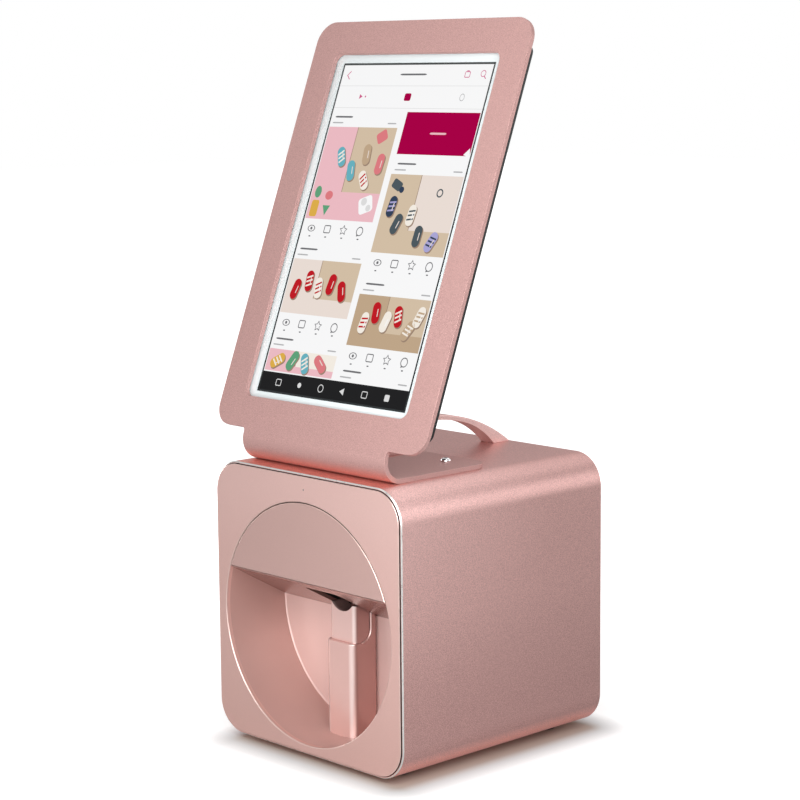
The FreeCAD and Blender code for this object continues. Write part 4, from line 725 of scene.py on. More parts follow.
def shave(piece: Thing, place: Point, way: Point) -> None:
    """Cuts off what lies on the far side of a plane and closes the cut.

    Args:
        piece: The piece to work on.
        place: A point of the plane.
        way: Normal of the plane; what lies on its side goes.
    """
    open_up(piece)
    bpy.ops.mesh.bisect(plane_co=[v * MM for v in place], plane_no=way, use_fill=True,
                        clear_outer=True)
    let_go()


def soften(piece: Thing, width: float = 0.0, steps: int = 2, limit: float = 35.0,
           smooth: float = 30.0) -> None:
    """Breaks the sharp edges of a piece and shades it smoothly.

    Args:
        piece: The piece to work on.
        width: Width of the broken edge; 0 leaves the edges as they are.
        steps: Segments of the broken edge.
        limit: Edges sharper than this angle are broken.
        smooth: Edges sharper than this angle stay hard in the shading.
    """
    hold(piece)
    if width:
        work(piece, "BEVEL", width=width * MM, segments=steps, limit_method="ANGLE",
             angle_limit=math.radians(limit))
    bpy.ops.object.shade_smooth_by_angle(angle=math.radians(smooth))
    work(piece, "WEIGHTED_NORMAL", keep_sharp=True)
    let_go()


def paint(piece: Thing, finish: Finish, test: Test) -> None:
    """Gives some faces of a dressed piece another finish.

    Args:
        piece: The piece.
        finish: The other finish.
        test: Takes a face's middle in millimetres and its normal.
    """
    piece.data.materials.append(finish.material())
    for face in piece.data.polygons:
        if test(face.center / MM, face.normal):
            face.material_index = len(piece.data.materials) - 1


def spare(piece: Thing, name: str, shift: Point) -> Thing:
    """Copies a piece with its own mesh, in another place.

    Args:
        piece: The piece to copy.
        name: Name of the copy.
        shift: How far it is moved.

    Returns:
        The copy.
    """
    copy = piece.copy()
    copy.data = piece.data.copy()
    copy.name = copy.data.name = name
    bpy.context.scene.collection.objects.link(copy)
    copy.data.transform(Matrix.Translation([v * MM for v in shift]))
    return copy


def copy_node(node: Thing, name: str) -> Thing:
    """Copies a frame node's mesh as the start of a finer piece, merged and tidied.

    Args:
        node: The node.
        name: Name of the piece.

    Returns:
        The piece, shown and free of the node's own marks.
    """
    piece = spare(node, name, (0.0, 0.0, 0.0))
    piece.hide_render = piece.hide_viewport = False
    for key in list(piece.keys()):
        del piece[key]
    tidy(piece)
    return piece


def join(name: str, things: Sequence[Thing]) -> Thing:
    """Joins several objects into one mesh.

    Args:
        name: Name of the joined piece.
        things: The objects.

    Returns:
        The joined piece.
    """
    hold(*things)
    if len(things) > 1:
        bpy.ops.object.join()
    return named(name)


def mount(piece: Thing, body: str, finish: Finish, slot: str, *nodes: str) -> Thing:
    """Dresses a piece, lets it ride on its body and hides the nodes that it stands for.

    Args:
        piece: The finished piece.
        body: Body that it rides on.
        finish: Its finish.
        slot: Slot of the record that the finish comes from; not used.
        *nodes: Frame nodes that it replaces.

    Returns:
        The piece.
    """
    if not piece.data.materials:
        dress(piece, finish)
    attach(piece, body)
    if nodes:
        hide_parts(*nodes)
    LOG.info("%s rides on %s, %d faces", piece.name, body, len(piece.data.polygons))
    return piece


# ---------------------------------------------------------------- housing

# The bowl: height of its axis, radius, and place of its back wall.
BOWL_AXIS, BOWL_RADIUS, BOWL_BACK = 86.4, 77.0, -39.2
CIRCLE_SIDES = 176
PANEL_BACK = FRONT + 3.0
PINHOLE_HEIGHT = FLOOR + 168.6
# The ceiling falls by this much for each millimetre towards the rear.
SLOPE = 0.55
# The bracket's screws, the ends of the carry handle, and the radius of all their holes.
SCREW_X, SCREW_Y = 42.0, FRONT + 81.5
HANDLE_FEET = (11.3 - 69.5, 11.3 + 69.5)
SCREW_HOLE = 2.2


def ceiling(y: float) -> float:
    """Height of the ceiling's lower face at a fore-and-aft place."""
    return FLOOR + 109.8 - SLOPE * (y - FRONT)


def reach(place: Vector) -> float:
    """Distance of a place from the bowl's axis."""
    return math.hypot(place.x, place.z - BOWL_AXIS)


@dataclass
class Housing:
    """Extruded shell, front panel, bowl, brow cover and feet."""

    half: float = 86.0
    middle: float = (FLOOR + TOP) / 2
    corner: float = 21.0
    wall: float = 1.0
    rim: float = FRONT + 1.0
    cut: float = 0.7
    panel_half: float = 84.5
    panel_low: float = 4.5
    panel_high: float = 179.9
    panel_corner: float = 19.5
    rear_edge: float = 0.35
    panel_edge: float = 0.4
    opening_edge: float = 0.7
    bowl_wall: float = 2.0
    bowl_edge: float = 1.2
    brow_thick: float = 3.0
    brow_play: float = 0.4
    brow_edge: float = 0.5
    foot_radius: float = 8.0
    foot_edge: float = 0.8
    foot_rim: float = 2.2
    foot_hollow: float = 0.5
    feet_at: Tuple[Span, ...] = ((-57.0, -66.0), (-57.0, 66.0), (57.0, -66.0), (57.0, 66.0))
    screw_x: float = 74.0
    screw_up: float = 78.7

    def build(self) -> None:
        """Makes every piece of the housing."""
        self.shell()
        self.panel()
        self.bowl()
        self.brow()
        self.feet()
        self.rear_screws()

    def outside(self, place: Vector, way: Vector) -> bool:
        """Tells whether a place lies on the tube's outer outline.

        Args:
            place: The place.
            way: Direction of the edge there, which isn't asked for.

        Returns:
            Whether it lies there.
        """
        x, z = abs(place.x), abs(place.z - self.middle)
        tall = (TOP - FLOOR) / 2
        over = Vector((x - self.half + self.corner, z - tall + self.corner))
        if over.x > 0 and over.y > 0:
            return over.length > self.corner - 0.5
        return x > self.half - 0.1 or z > tall - 0.1

    def shell(self) -> None:
        """Makes the tube: rounded block, inset ends bridged through, bright cut front rim."""
        tube = block("shell_tube", (-self.half, self.half), (self.rim, REAR), (FLOOR, TOP))
        round_edges(tube, self.corner, 26, along("Y"))
        choose(tube, Pick.FACES, along("Y"))
        bpy.ops.mesh.inset(thickness=self.wall * MM, use_even_offset=True)
        bpy.ops.mesh.bridge_edge_loops()
        let_go()
        round_edges(tube, self.cut, 1, all_of(in_plane("Y", self.rim), self.outside))
        round_edges(tube, self.rear_edge, 2, all_of(in_plane("Y", REAR), self.outside))
        places = [(-SCREW_X, SCREW_Y), (SCREW_X, SCREW_Y)] + [(0.0, y) for y in HANDLE_FEET]
        carve(tube, [round_bar("drill", "Z", (x, y, TOP - 3.0), SCREW_HOLE, 6.0, 24)
                     for x, y in places])
        soften(tube, smooth=25.0)
        dress(tube, Finish.SHELL)
        paint(tube, Finish.CUT, lambda place, way: -0.95 < way.y < -0.4
              and place.y < self.rim + self.cut + 0.1)
        mount(tube, "housing", Finish.SHELL, "rose_shell", "outer_shell")

    def plate(self, name: str, y: Span) -> Thing:
        """Makes the rounded plate that fills an end of the shell.

        Args:
            name: Name of the plate.
            y: Its front and rear face.

        Returns:
            The plate.
        """
        plate = block(name, (-self.panel_half, self.panel_half), y,
                      (self.panel_low, self.panel_high))
        round_edges(plate, self.panel_corner, 24, along("Y"))
        return plate

    def panel(self) -> None:
        """Makes the front panel with its round opening and the pinhole of the lamp."""
        panel = self.plate("front_plate", (FRONT, PANEL_BACK))
        before, through = FRONT - 2.0, 8.0
        carve(panel, [
            round_bar("opening", "Y", (0.0, before, BOWL_AXIS), BOWL_RADIUS, through,
                      CIRCLE_SIDES),
            round_bar("pinhole", "Y", (0.0, before, PINHOLE_HEIGHT), 0.55, through, 20)])
        front = in_plane("Y", FRONT)
        round_edges(panel, self.opening_edge, 3, lambda place, way: front(place, way)
                    and abs(reach(place) - BOWL_RADIUS) < 0.2)
        round_edges(panel, self.panel_edge, 3, lambda place, way: front(place, way)
                    and reach(place) > BOWL_RADIUS + 1.5
                    and not (abs(place.x) < 2 and abs(place.z - PINHOLE_HEIGHT) < 2))
        soften(panel, smooth=38.0)
        self.paint_rim(panel, Finish.PANEL, lambda place: reach(place) > BOWL_RADIUS + 1)
        mount(panel, "housing", Finish.PANEL, "rose_panel", "front_panel")

    def paint_rim(self, piece: Thing, finish: Finish, sides: Callable[[Vector], bool]) -> None:
        """Gives a plate bright rounded front edges, partly a painted highlight, and side faces
        painted dark as shade in the gap.

        Args:
            piece: The plate.
            finish: Finish of its front.
            sides: Tells which side faces take the painted shade, by their middle in millimetres.
        """
        dress(piece, finish)
        # Rounded front edges take the lighter polished rose, which is partly a painted highlight.
        paint(piece, Finish.RIM_HIGHLIGHT, lambda place, way: 0.1 < -way.y < 0.99
              and place.y < FRONT + 0.72)
        # Side faces painted near black: painted shade in the gap.
        paint(piece, Finish.GAP_SHADE, lambda place, way: abs(way.y) < NEAR and sides(place))

    def bowl(self) -> None:
        """Makes the round bowl: a cup with a wall, cut away above the ceiling."""
        cup = round_bar("hand_cup", "Y", (0.0, PANEL_BACK, BOWL_AXIS), BOWL_RADIUS,
                        BOWL_BACK - PANEL_BACK, CIRCLE_SIDES)
        choose(cup, Pick.FACES, lambda place, way: way.y < -0.9)
        bpy.ops.mesh.delete(type="FACE")
        let_go()
        round_edges(cup, self.bowl_edge, 4, in_plane("Y", BOWL_BACK))
        hold(cup)
        work(cup, "SOLIDIFY", thickness=self.bowl_wall * MM, offset=1.0, use_even_offset=True)
        start = PANEL_BACK + 6.0
        above = block("above", (-90.0, 90.0), (start, BOWL_BACK + 6.0), (60.0, 175.0))
        shave(above, (0.0, start, ceiling(start) + 2.7), (0.0, -SLOPE, -1.0))
        carve(cup, [above])
        soften(cup, smooth=32.0)
        dress(cup, Finish.LACQUER)
        # The round wall takes a darker copy of the lacquer: painted shade.
        paint(cup, Finish.BOWL_WALL_SHADE, lambda place, way: abs(way.y) < 0.3)
        mount(cup, "housing", Finish.LACQUER, "rose_moulding", "hand_bowl")

    def brow(self) -> None:
        """Makes the cover over the hand: a disc cut along the slope of the ceiling."""
        cover = round_bar("brow_plate", "Y", (0.0, FRONT, BOWL_AXIS),
                          BOWL_RADIUS - self.brow_play, self.brow_thick, CIRCLE_SIDES)
        shave(cover, (0.0, FRONT, ceiling(FRONT)), (0.0, -SLOPE, -1.0))
        round_edges(cover, self.brow_edge, 3, in_plane("Y", FRONT))
        soften(cover, smooth=38.0)
        self.paint_rim(cover, Finish.BROW, lambda place: True)
        mount(cover, "brow", Finish.BROW, "rose_panel", "brow_cover")

    def feet(self) -> None:
        """Makes the rubber feet: turned pads with a hollow underneath."""
        x, y = self.feet_at[0]
        foot = round_bar("rubber_foot_1", "Z", (x, y, 0.0), self.foot_radius, FLOOR, 40)
        round_edges(foot, self.foot_edge, 3, in_plane("Z", 0.0))
        choose(foot, Pick.FACES, lambda place, way: way.z < -PARALLEL)
        bpy.ops.mesh.inset(thickness=self.foot_rim * MM)
        bpy.ops.mesh.extrude_region_move(TRANSFORM_OT_translate={
            "value": (0.0, 0.0, self.foot_hollow * MM)})
        let_go()
        soften(foot)
        copies = [spare(foot, f"rubber_foot_{number}", (u - x, v - y, 0.0))
                  for number, (u, v) in enumerate(self.feet_at[1:], start=2)]
        for piece in [foot] + copies:
            mount(piece, "housing", Finish.RUBBER, "foot_rubber", "feet")

    def rear_screws(self) -> None:
        """Makes the rear panel's screw heads: low domes with a cross recess."""
        x, up, seat, high = self.screw_x, self.screw_up, REAR - 2.0, 1.5
        z = self.middle + up
        head = round_bar("rear_screw_1", "Y", (x, seat, z), 3.1, high, 32)
        round_edges(head, 1.2, 4, in_plane("Y", seat + high))
        bar, long, wide = (seat + 0.7, seat + 3.0), 1.5, 0.3
        carve(head, [block("cross", (x - long, x + long), bar, (z - wide, z + wide)),
                     block("cross", (x - wide, x + wide), bar, (z - long, z + long))])
        soften(head, smooth=40.0)
        shifts = ((0.0, -2 * up), (-2 * x, -2 * up), (-2 * x, 0.0))
        copies = [spare(head, f"rear_screw_{number}", (across, 0.0, down))
                  for number, (across, down) in enumerate(shifts, start=2)]
        for piece in [head] + copies:
            mount(piece, "housing", Finish.CHROME, "screw_chrome", "rear_panel_screws")


@dataclass
class FingerStand:
    """Post in the bowl and the sprung saddle that slides in it."""

    half: float = 13.0
    front: float = FRONT + 27.8
    stand: float = FRONT + 43.3
    ledge: float = FLOOR + 67.7
    ledge_edge: float = 0.9
    corner: float = 4.5
    curve: float = 8.0
    rest_half: float = 11.8
    rest_front: float = FRONT + 30.7
    rest_low: float = FLOOR + 49.0
    rest_high: float = FLOOR + 91.5
    rest_corner: float = 3.0
    groove: float = 11.8
    play: float = 0.15
    pin_x: float = 7.3
    pin_y: float = FRONT + 36.4
    over: float = 130.0

    def build(self) -> None:
        """Makes the post and the saddle."""
        self.post()
        self.saddle()

    def post(self) -> None:
        """Makes the post: column, ledge, curved upstand and the well of the saddle."""
        rear = BOWL_BACK - 0.02
        post = block("finger_column", (-self.half, self.half), (self.front, rear), (5.0, 120.0))
        round_edges(post, self.corner, 8, along("Z"))
        step = block("step", (-20.0, 20.0), (self.front - 9.0, self.stand),
                     (self.ledge, self.over))
        round_edges(step, self.curve, 12,
                    all_of(in_plane("Y", self.stand), in_plane("Z", self.ledge)))
        wide = self.rest_half + self.play
        well = block("well", (-wide, wide), (self.rest_front - self.play, self.stand - 0.05),
                     (FLOOR + 22.0, self.over))
        round_edges(well, self.rest_corner + self.play, 6, lambda place, way:
                    abs(way.z) > PARALLEL and place.y < self.rest_front + 0.6)
        shave(post, (0.0, self.stand, ceiling(self.stand) - 0.1), (0.0, SLOPE, 1.0))
        carve(post, [step])
        round_edges(post, self.ledge_edge, 4, lambda place, way: place.z > self.ledge - NEAR
                    and place.y < self.stand + NEAR
                    and not (abs(way.x) > 0.99 and place.y > self.front + 0.1))
        carve(post, [well])
        carve(post, [round_bar("round_foot", "Y", (0.0, FRONT, BOWL_AXIS), BOWL_RADIUS - 0.03,
                               60.0, CIRCLE_SIDES)], "INTERSECT")
        soften(post, 0.35, 2, 38.0, 28.0)
        dress(post, Finish.POST)
        # The upstand's rounded edges take a lighter lacquer: a painted highlight.
        paint(post, Finish.POST_HIGHLIGHT, lambda place, way: 0.12 < abs(way.x) < 0.93
              and place.z > self.ledge - 1.0 and place.y > self.stand - self.curve)
        mount(post, "housing", Finish.POST, "rose_moulding", "finger_post")

    def saddle(self) -> None:
        """Makes the saddle: groove for the finger, bores for its pins, pocket for its spring."""
        rest = block("finger_saddle_block", (-self.rest_half, self.rest_half),
                     (self.rest_front, self.stand - 0.3), (self.rest_low, self.rest_high))
        round_edges(rest, self.rest_corner, 8, lambda place, way: abs(way.z) > PARALLEL
                    and place.y < self.rest_front + 0.1)
        below = self.rest_low - 1.0
        carve(rest, [
            round_bar("groove", "Y", (0.0, FRONT, FLOOR + 98.8), self.groove, 80.0, 72),
            round_bar("bore", "Z", (-self.pin_x, self.pin_y, below), 1.6, 33.0, 24),
            round_bar("bore", "Z", (self.pin_x, self.pin_y, below), 1.6, 33.0, 24),
            round_bar("spring_pocket", "Z", (0.0, self.pin_y, below), 3.7, 13.8, 32)])
        soften(rest, 0.45, 3, 38.0, 28.0)
        dress(rest, Finish.REST)
        mount(rest, "finger_saddle", Finish.REST, "rose_moulding", "finger_rest")


# ---------------------------------------------------------------- handle and bent sheet

# Lower middle of the display, and how far the sheet leans back, in degrees.
SCREEN_Y, SCREEN_Z, TILT = -67.7705, 224.3514, 21.0


def lean(piece: Thing) -> None:
    """Leans a piece that was made flat: its y runs up the screen, its z towards the viewer.

    Args:
        piece: The piece.
    """
    turn = Matrix.Rotation(math.radians(90.0 - TILT), 4, "X")
    piece.matrix_world = Matrix.Translation((0.0, SCREEN_Y * MM, SCREEN_Z * MM)) @ turn
    hold(piece)
    bpy.ops.object.transform_apply(location=True, rotation=True, scale=True)
    let_go()


@dataclass
class TopSide:
    """Carry handle, bent tablet bracket and the bracket's screws.

    The sheet is made flat: x across, y up the screen and z towards the viewer.
    """

    half: float = 96.0
    neck: float = 65.7
    high: float = 247.8
    ears: float = -25.0
    face: float = 4.0
    thick: float = 3.0
    edge: float = 0.5
    bend: float = 13.5
    notch: float = 2.6
    window: float = 74.5
    window_up: Span = (-4.5, 226.0)
    window_corner: float = 6.0
    crown_corner: float = 14.5
    ear_corner: float = 13.0
    plate: float = 76.7
    plate_corner: float = 12.0
    slot_half: float = 8.0
    slot_along: Span = (FRONT + 21.5, FRONT + 110.0)

    def build(self, nodes: Dict[str, Thing]) -> None:
        """Makes the pieces on the shell's top.

        Args:
            nodes: Nodes of the frame.
        """
        handle = copy_node(nodes["carry_handle"], "handle_arch")
        soften(handle, self.edge, 2, 40.0, 30.0)
        mount(handle, "housing", Finish.HANDLE, "rose_sheet", "carry_handle")
        self.bracket()
        self.screws()

    def bracket(self) -> None:
        """Makes the sheet in one piece: frame, neck, rolled bend and slotted foot plate."""
        sheet = block("bent_sheet", (-self.half, self.half), (self.ears, self.high),
                      (self.face - self.thick, self.face))
        for side in (-1, 1):
            open_up(sheet)
            bpy.ops.mesh.bisect(plane_co=(side * self.neck * MM, 0.0, 0.0), plane_no=(1, 0, 0))
        choose(sheet, Pick.FACES, lambda place, way: way.y < -0.9 and abs(place.x) < self.neck)
        foot = self.notch + 0.3
        bpy.ops.mesh.extrude_region_move(TRANSFORM_OT_translate={"value": (0.0, -foot * MM, 0.0)})
        bpy.ops.mesh.spin(
            steps=26, angle=-math.radians(90.0 + TILT), axis=(1.0, 0.0, 0.0),
            center=(0.0, (self.ears - foot) * MM, (self.face - self.bend) * MM))
        tilt, run = math.radians(TILT), self.plate * MM
        bpy.ops.mesh.extrude_region_move(TRANSFORM_OT_translate={
            "value": (0.0, math.sin(tilt) * run, -math.cos(tilt) * run)})
        let_go()
        tidy(sheet)
        self.round_corners(sheet)
        opening = block("opening", (-self.window, self.window), self.window_up, (-5.0, 9.0))
        round_edges(opening, self.window_corner, 10, along("Z"))
        carve(sheet, [opening])
        lean(sheet)
        under = TOP - 2.0
        slot = block("slot", (-self.slot_half, self.slot_half), self.slot_along,
                     (under, under + 8.0))
        drills = [round_bar("drill", "Z", (side * SCREW_X, SCREW_Y, under), SCREW_HOLE, 8.0, 24)
                  for side in (-1, 1)]
        carve(sheet, [slot] + drills)
        soften(sheet, self.edge, 3, 40.0, 30.0)
        mount(sheet, "housing", Finish.SHEET, "rose_sheet", "tablet_bracket")

    def round_corners(self, sheet: Thing) -> None:
        """Rounds the sheet's crown, ears, notches and rear plate corners.

        Args:
            sheet: The sheet, bent but not yet leant back.
        """
        same = 0.05

        def at(x: float, y: float) -> Test:
            """Gives a test for the edges through the sheet at two mirrored places."""
            return lambda place, way: (abs(way.z) > PARALLEL and abs(abs(place.x) - x) < same
                                       and abs(place.y - y) < same)
        round_edges(sheet, self.crown_corner, 12, at(self.half, self.high))
        round_edges(sheet, self.ear_corner, 12, at(self.half, self.ears))
        round_edges(sheet, self.notch, 8, at(self.neck, self.ears))
        tilt = math.radians(TILT)
        round_edges(sheet, self.plate_corner, 12, lambda place, way:
                    abs(abs(place.x) - self.neck) < same and place.z < -60.0
                    and abs(way.x) < NEAR
                    and abs(way.y * math.cos(tilt) + way.z * math.sin(tilt)) > 0.99)

    def screws(self) -> None:
        """Makes the raised chrome screws with a six-sided socket, shank and nut."""
        top, high = TOP + self.thick, 2.0
        head = round_bar("plate_screw_head", "Z", (SCREW_X, SCREW_Y, top), 3.1, high, 40)
        round_edges(head, 1.7, 6, in_plane("Z", top + high))
        carve(head, [round_bar("socket", "Z", (SCREW_X, SCREW_Y, top + 1.0), 1.1, 4.0, 6)])
        shank = round_bar("plate_screw_shank", "Z", (SCREW_X, SCREW_Y, top - 9.4), 2.0, 9.8, 20)
        nut = round_bar("plate_screw_nut", "Z", (SCREW_X, SCREW_Y, TOP - 4.5), 4.0, 3.2, 6)
        right = join("plate_screw_right", [head, shank, nut])
        soften(right, smooth=40.0)
        left = spare(right, "plate_screw_left", (-2 * SCREW_X, 0.0, 0.0))
        for piece in (right, left):
            mount(piece, "housing", Finish.CHROME, "screw_chrome", "bracket_screws")


# ---------------------------------------------------------------- display

# Height of the page's lowest layer on the display, and the step between layers.
LAYER_BASE, LAYER_STEP = -0.088, 0.013


class Layer(IntEnum):
    """Layers of the page, from the lowest up."""

    GROUND = 0
    PRINT = 1
    SHEET = 2
    SHADOW = 3
    PROP = 4
    STRIPE = 5
    GLEAM = 6


class Shape(Enum):
    """Small flat shapes that the page is laid with, by the names of their patterns."""

    BOX = "box_stamp"
    DISC = "disc_stamp"
    WEDGE = "wedge_stamp"
    PILL = "pill_stamp"
    NAIL = "nail_stamp"
    ROUND = "round_stamp"
    RING = "ring_stamp"
    FRAME = "frame_stamp"
    STAR = "star_stamp"


@dataclass(frozen=True)
class Nail:
    """A nail shape in a picture: place, turn in degrees, colour and colour of its stripes."""

    x: float
    v: float
    turn: float
    colour: Finish
    stripe: Finish


@dataclass(frozen=True)
class Prop:
    """A thing beside the nail shapes: shape, colour, place, layer, scale and turn."""

    shape: Shape
    finish: Finish
    x: float
    v: float
    layer: Layer
    size: Span
    turn: float = 0.0


@dataclass(frozen=True)
class Card:
    """One card of the gallery; places in its picture start at the picture's lower left corner."""

    left: float
    top: float
    tall: float
    ground: Finish
    second: Finish
    nails: Tuple[Nail, ...] = ()
    props: Tuple[Prop, ...] = ()

    @property
    def low(self) -> float:
        """Lower edge of the picture."""
        return self.top - 10.4 - self.tall


# Left edges of the two columns.
INNER, OUTER = 2.6, -66.4
CARDS = (
    Card(INNER, 158.0, 51.0, Finish.BEIGE, Finish.PAPER, (
        Nail(8, 30, -8, Finish.NAVY, Finish.LILAC),
        Nail(16, 19, -20, Finish.SLATE, Finish.SLATE),
        Nail(27, 25, -6, Finish.CREAM, Finish.SLATE),
        Nail(37, 12, -2, Finish.SLATE, Finish.SLATE),
        Nail(50, 9, -28, Finish.LILAC, Finish.NAVY),
    ), (
        Prop(Shape.ROUND, Finish.SLATE, 8.0, 44.0, Layer.PROP, (0.9, 0.62), -24.0),
        Prop(Shape.DISC, Finish.NAVY, 13.0, 41.0, Layer.STRIPE, (4.2, 4.2)),
        Prop(Shape.DISC, Finish.SLATE, 47.0, 40.0, Layer.STRIPE, (5.6, 5.6)),
        Prop(Shape.DISC, Finish.PAPER, 47.0, 40.0, Layer.GLEAM, (3.8, 3.8)),
    )),
    Card(OUTER, 188.0, 62.0, Finish.BLUSH, Finish.BEIGE, (
        Nail(19, 42, 22, Finish.TEAL, Finish.CREAM),
        Nail(31, 33, 12, Finish.TEAL, Finish.TEAL),
        Nail(42, 44, 6, Finish.SAND, Finish.SAND),
        Nail(45, 27, 32, Finish.CREAM, Finish.RED),
        Nail(56, 38, -4, Finish.CORAL, Finish.CORAL),
    ), (
        Prop(Shape.ROUND, Finish.PAGE, 53.0, 11.0, Layer.PROP, (1.2, 1.1), 20.0),
        Prop(Shape.DISC, Finish.RULE, 51.0, 13.0, Layer.STRIPE, (5.2, 5.2)),
        Prop(Shape.DISC, Finish.RULE, 56.0, 9.0, Layer.STRIPE, (4.4, 4.4)),
        Prop(Shape.ROUND, Finish.CORAL, 52.0, 56.0, Layer.PROP, (0.9, 0.75), 30.0),
        Prop(Shape.WEDGE, Finish.LEAF, 17.0, 7.0, Layer.PROP, (8.0, 9.0), 180.0),
        Prop(Shape.DISC, Finish.CORAL, 17.0, 16.0, Layer.PROP, (7.0, 6.0)),
        Prop(Shape.ROUND, Finish.OCHRE, 6.0, 7.0, Layer.PROP, (0.7, 1.1)),
        Prop(Shape.DISC, Finish.LEAF, 6.0, 18.0, Layer.STRIPE, (6.0, 8.0)),
    )),
    Card(INNER, 80.0, 33.0, Finish.SAND, Finish.BEIGE, (
        Nail(10, 15, -10, Finish.CREAM, Finish.RED),
        Nail(19, 22, 6, Finish.RED, Finish.RED),
        Nail(29, 17, -16, Finish.CREAM, Finish.CREAM),
        Nail(39, 21, 12, Finish.RED, Finish.CREAM),
        Nail(50, 13, -32, Finish.SAND, Finish.CREAM),
        Nail(57, 22, -20, Finish.CREAM, Finish.SAND),
    )),
    Card(OUTER, 99.0, 36.0, Finish.PAPER, Finish.BEIGE, (
        Nail(9, 16, -14, Finish.RED, Finish.RED),
        Nail(20, 22, 4, Finish.RED, Finish.CREAM),
        Nail(30, 18, 10, Finish.CREAM, Finish.RED),
        Nail(41, 21, -8, Finish.RED, Finish.RED),
        Nail(52, 17, 18, Finish.RED, Finish.RED),
    )),
    Card(INNER, 24.0, 0.0, Finish.PAGE, Finish.PAGE),
    Card(OUTER, 39.0, 14.4, Finish.BLUSH, Finish.CREAM, (
        Nail(10, 7, -60, Finish.OCHRE, Finish.CREAM),
        Nail(24, 8, -30, Finish.LEAF, Finish.LEAF),
        Nail(36, 7, 20, Finish.TEAL, Finish.CREAM),
        Nail(50, 8, 50, Finish.CORAL, Finish.CORAL),
    )),
)


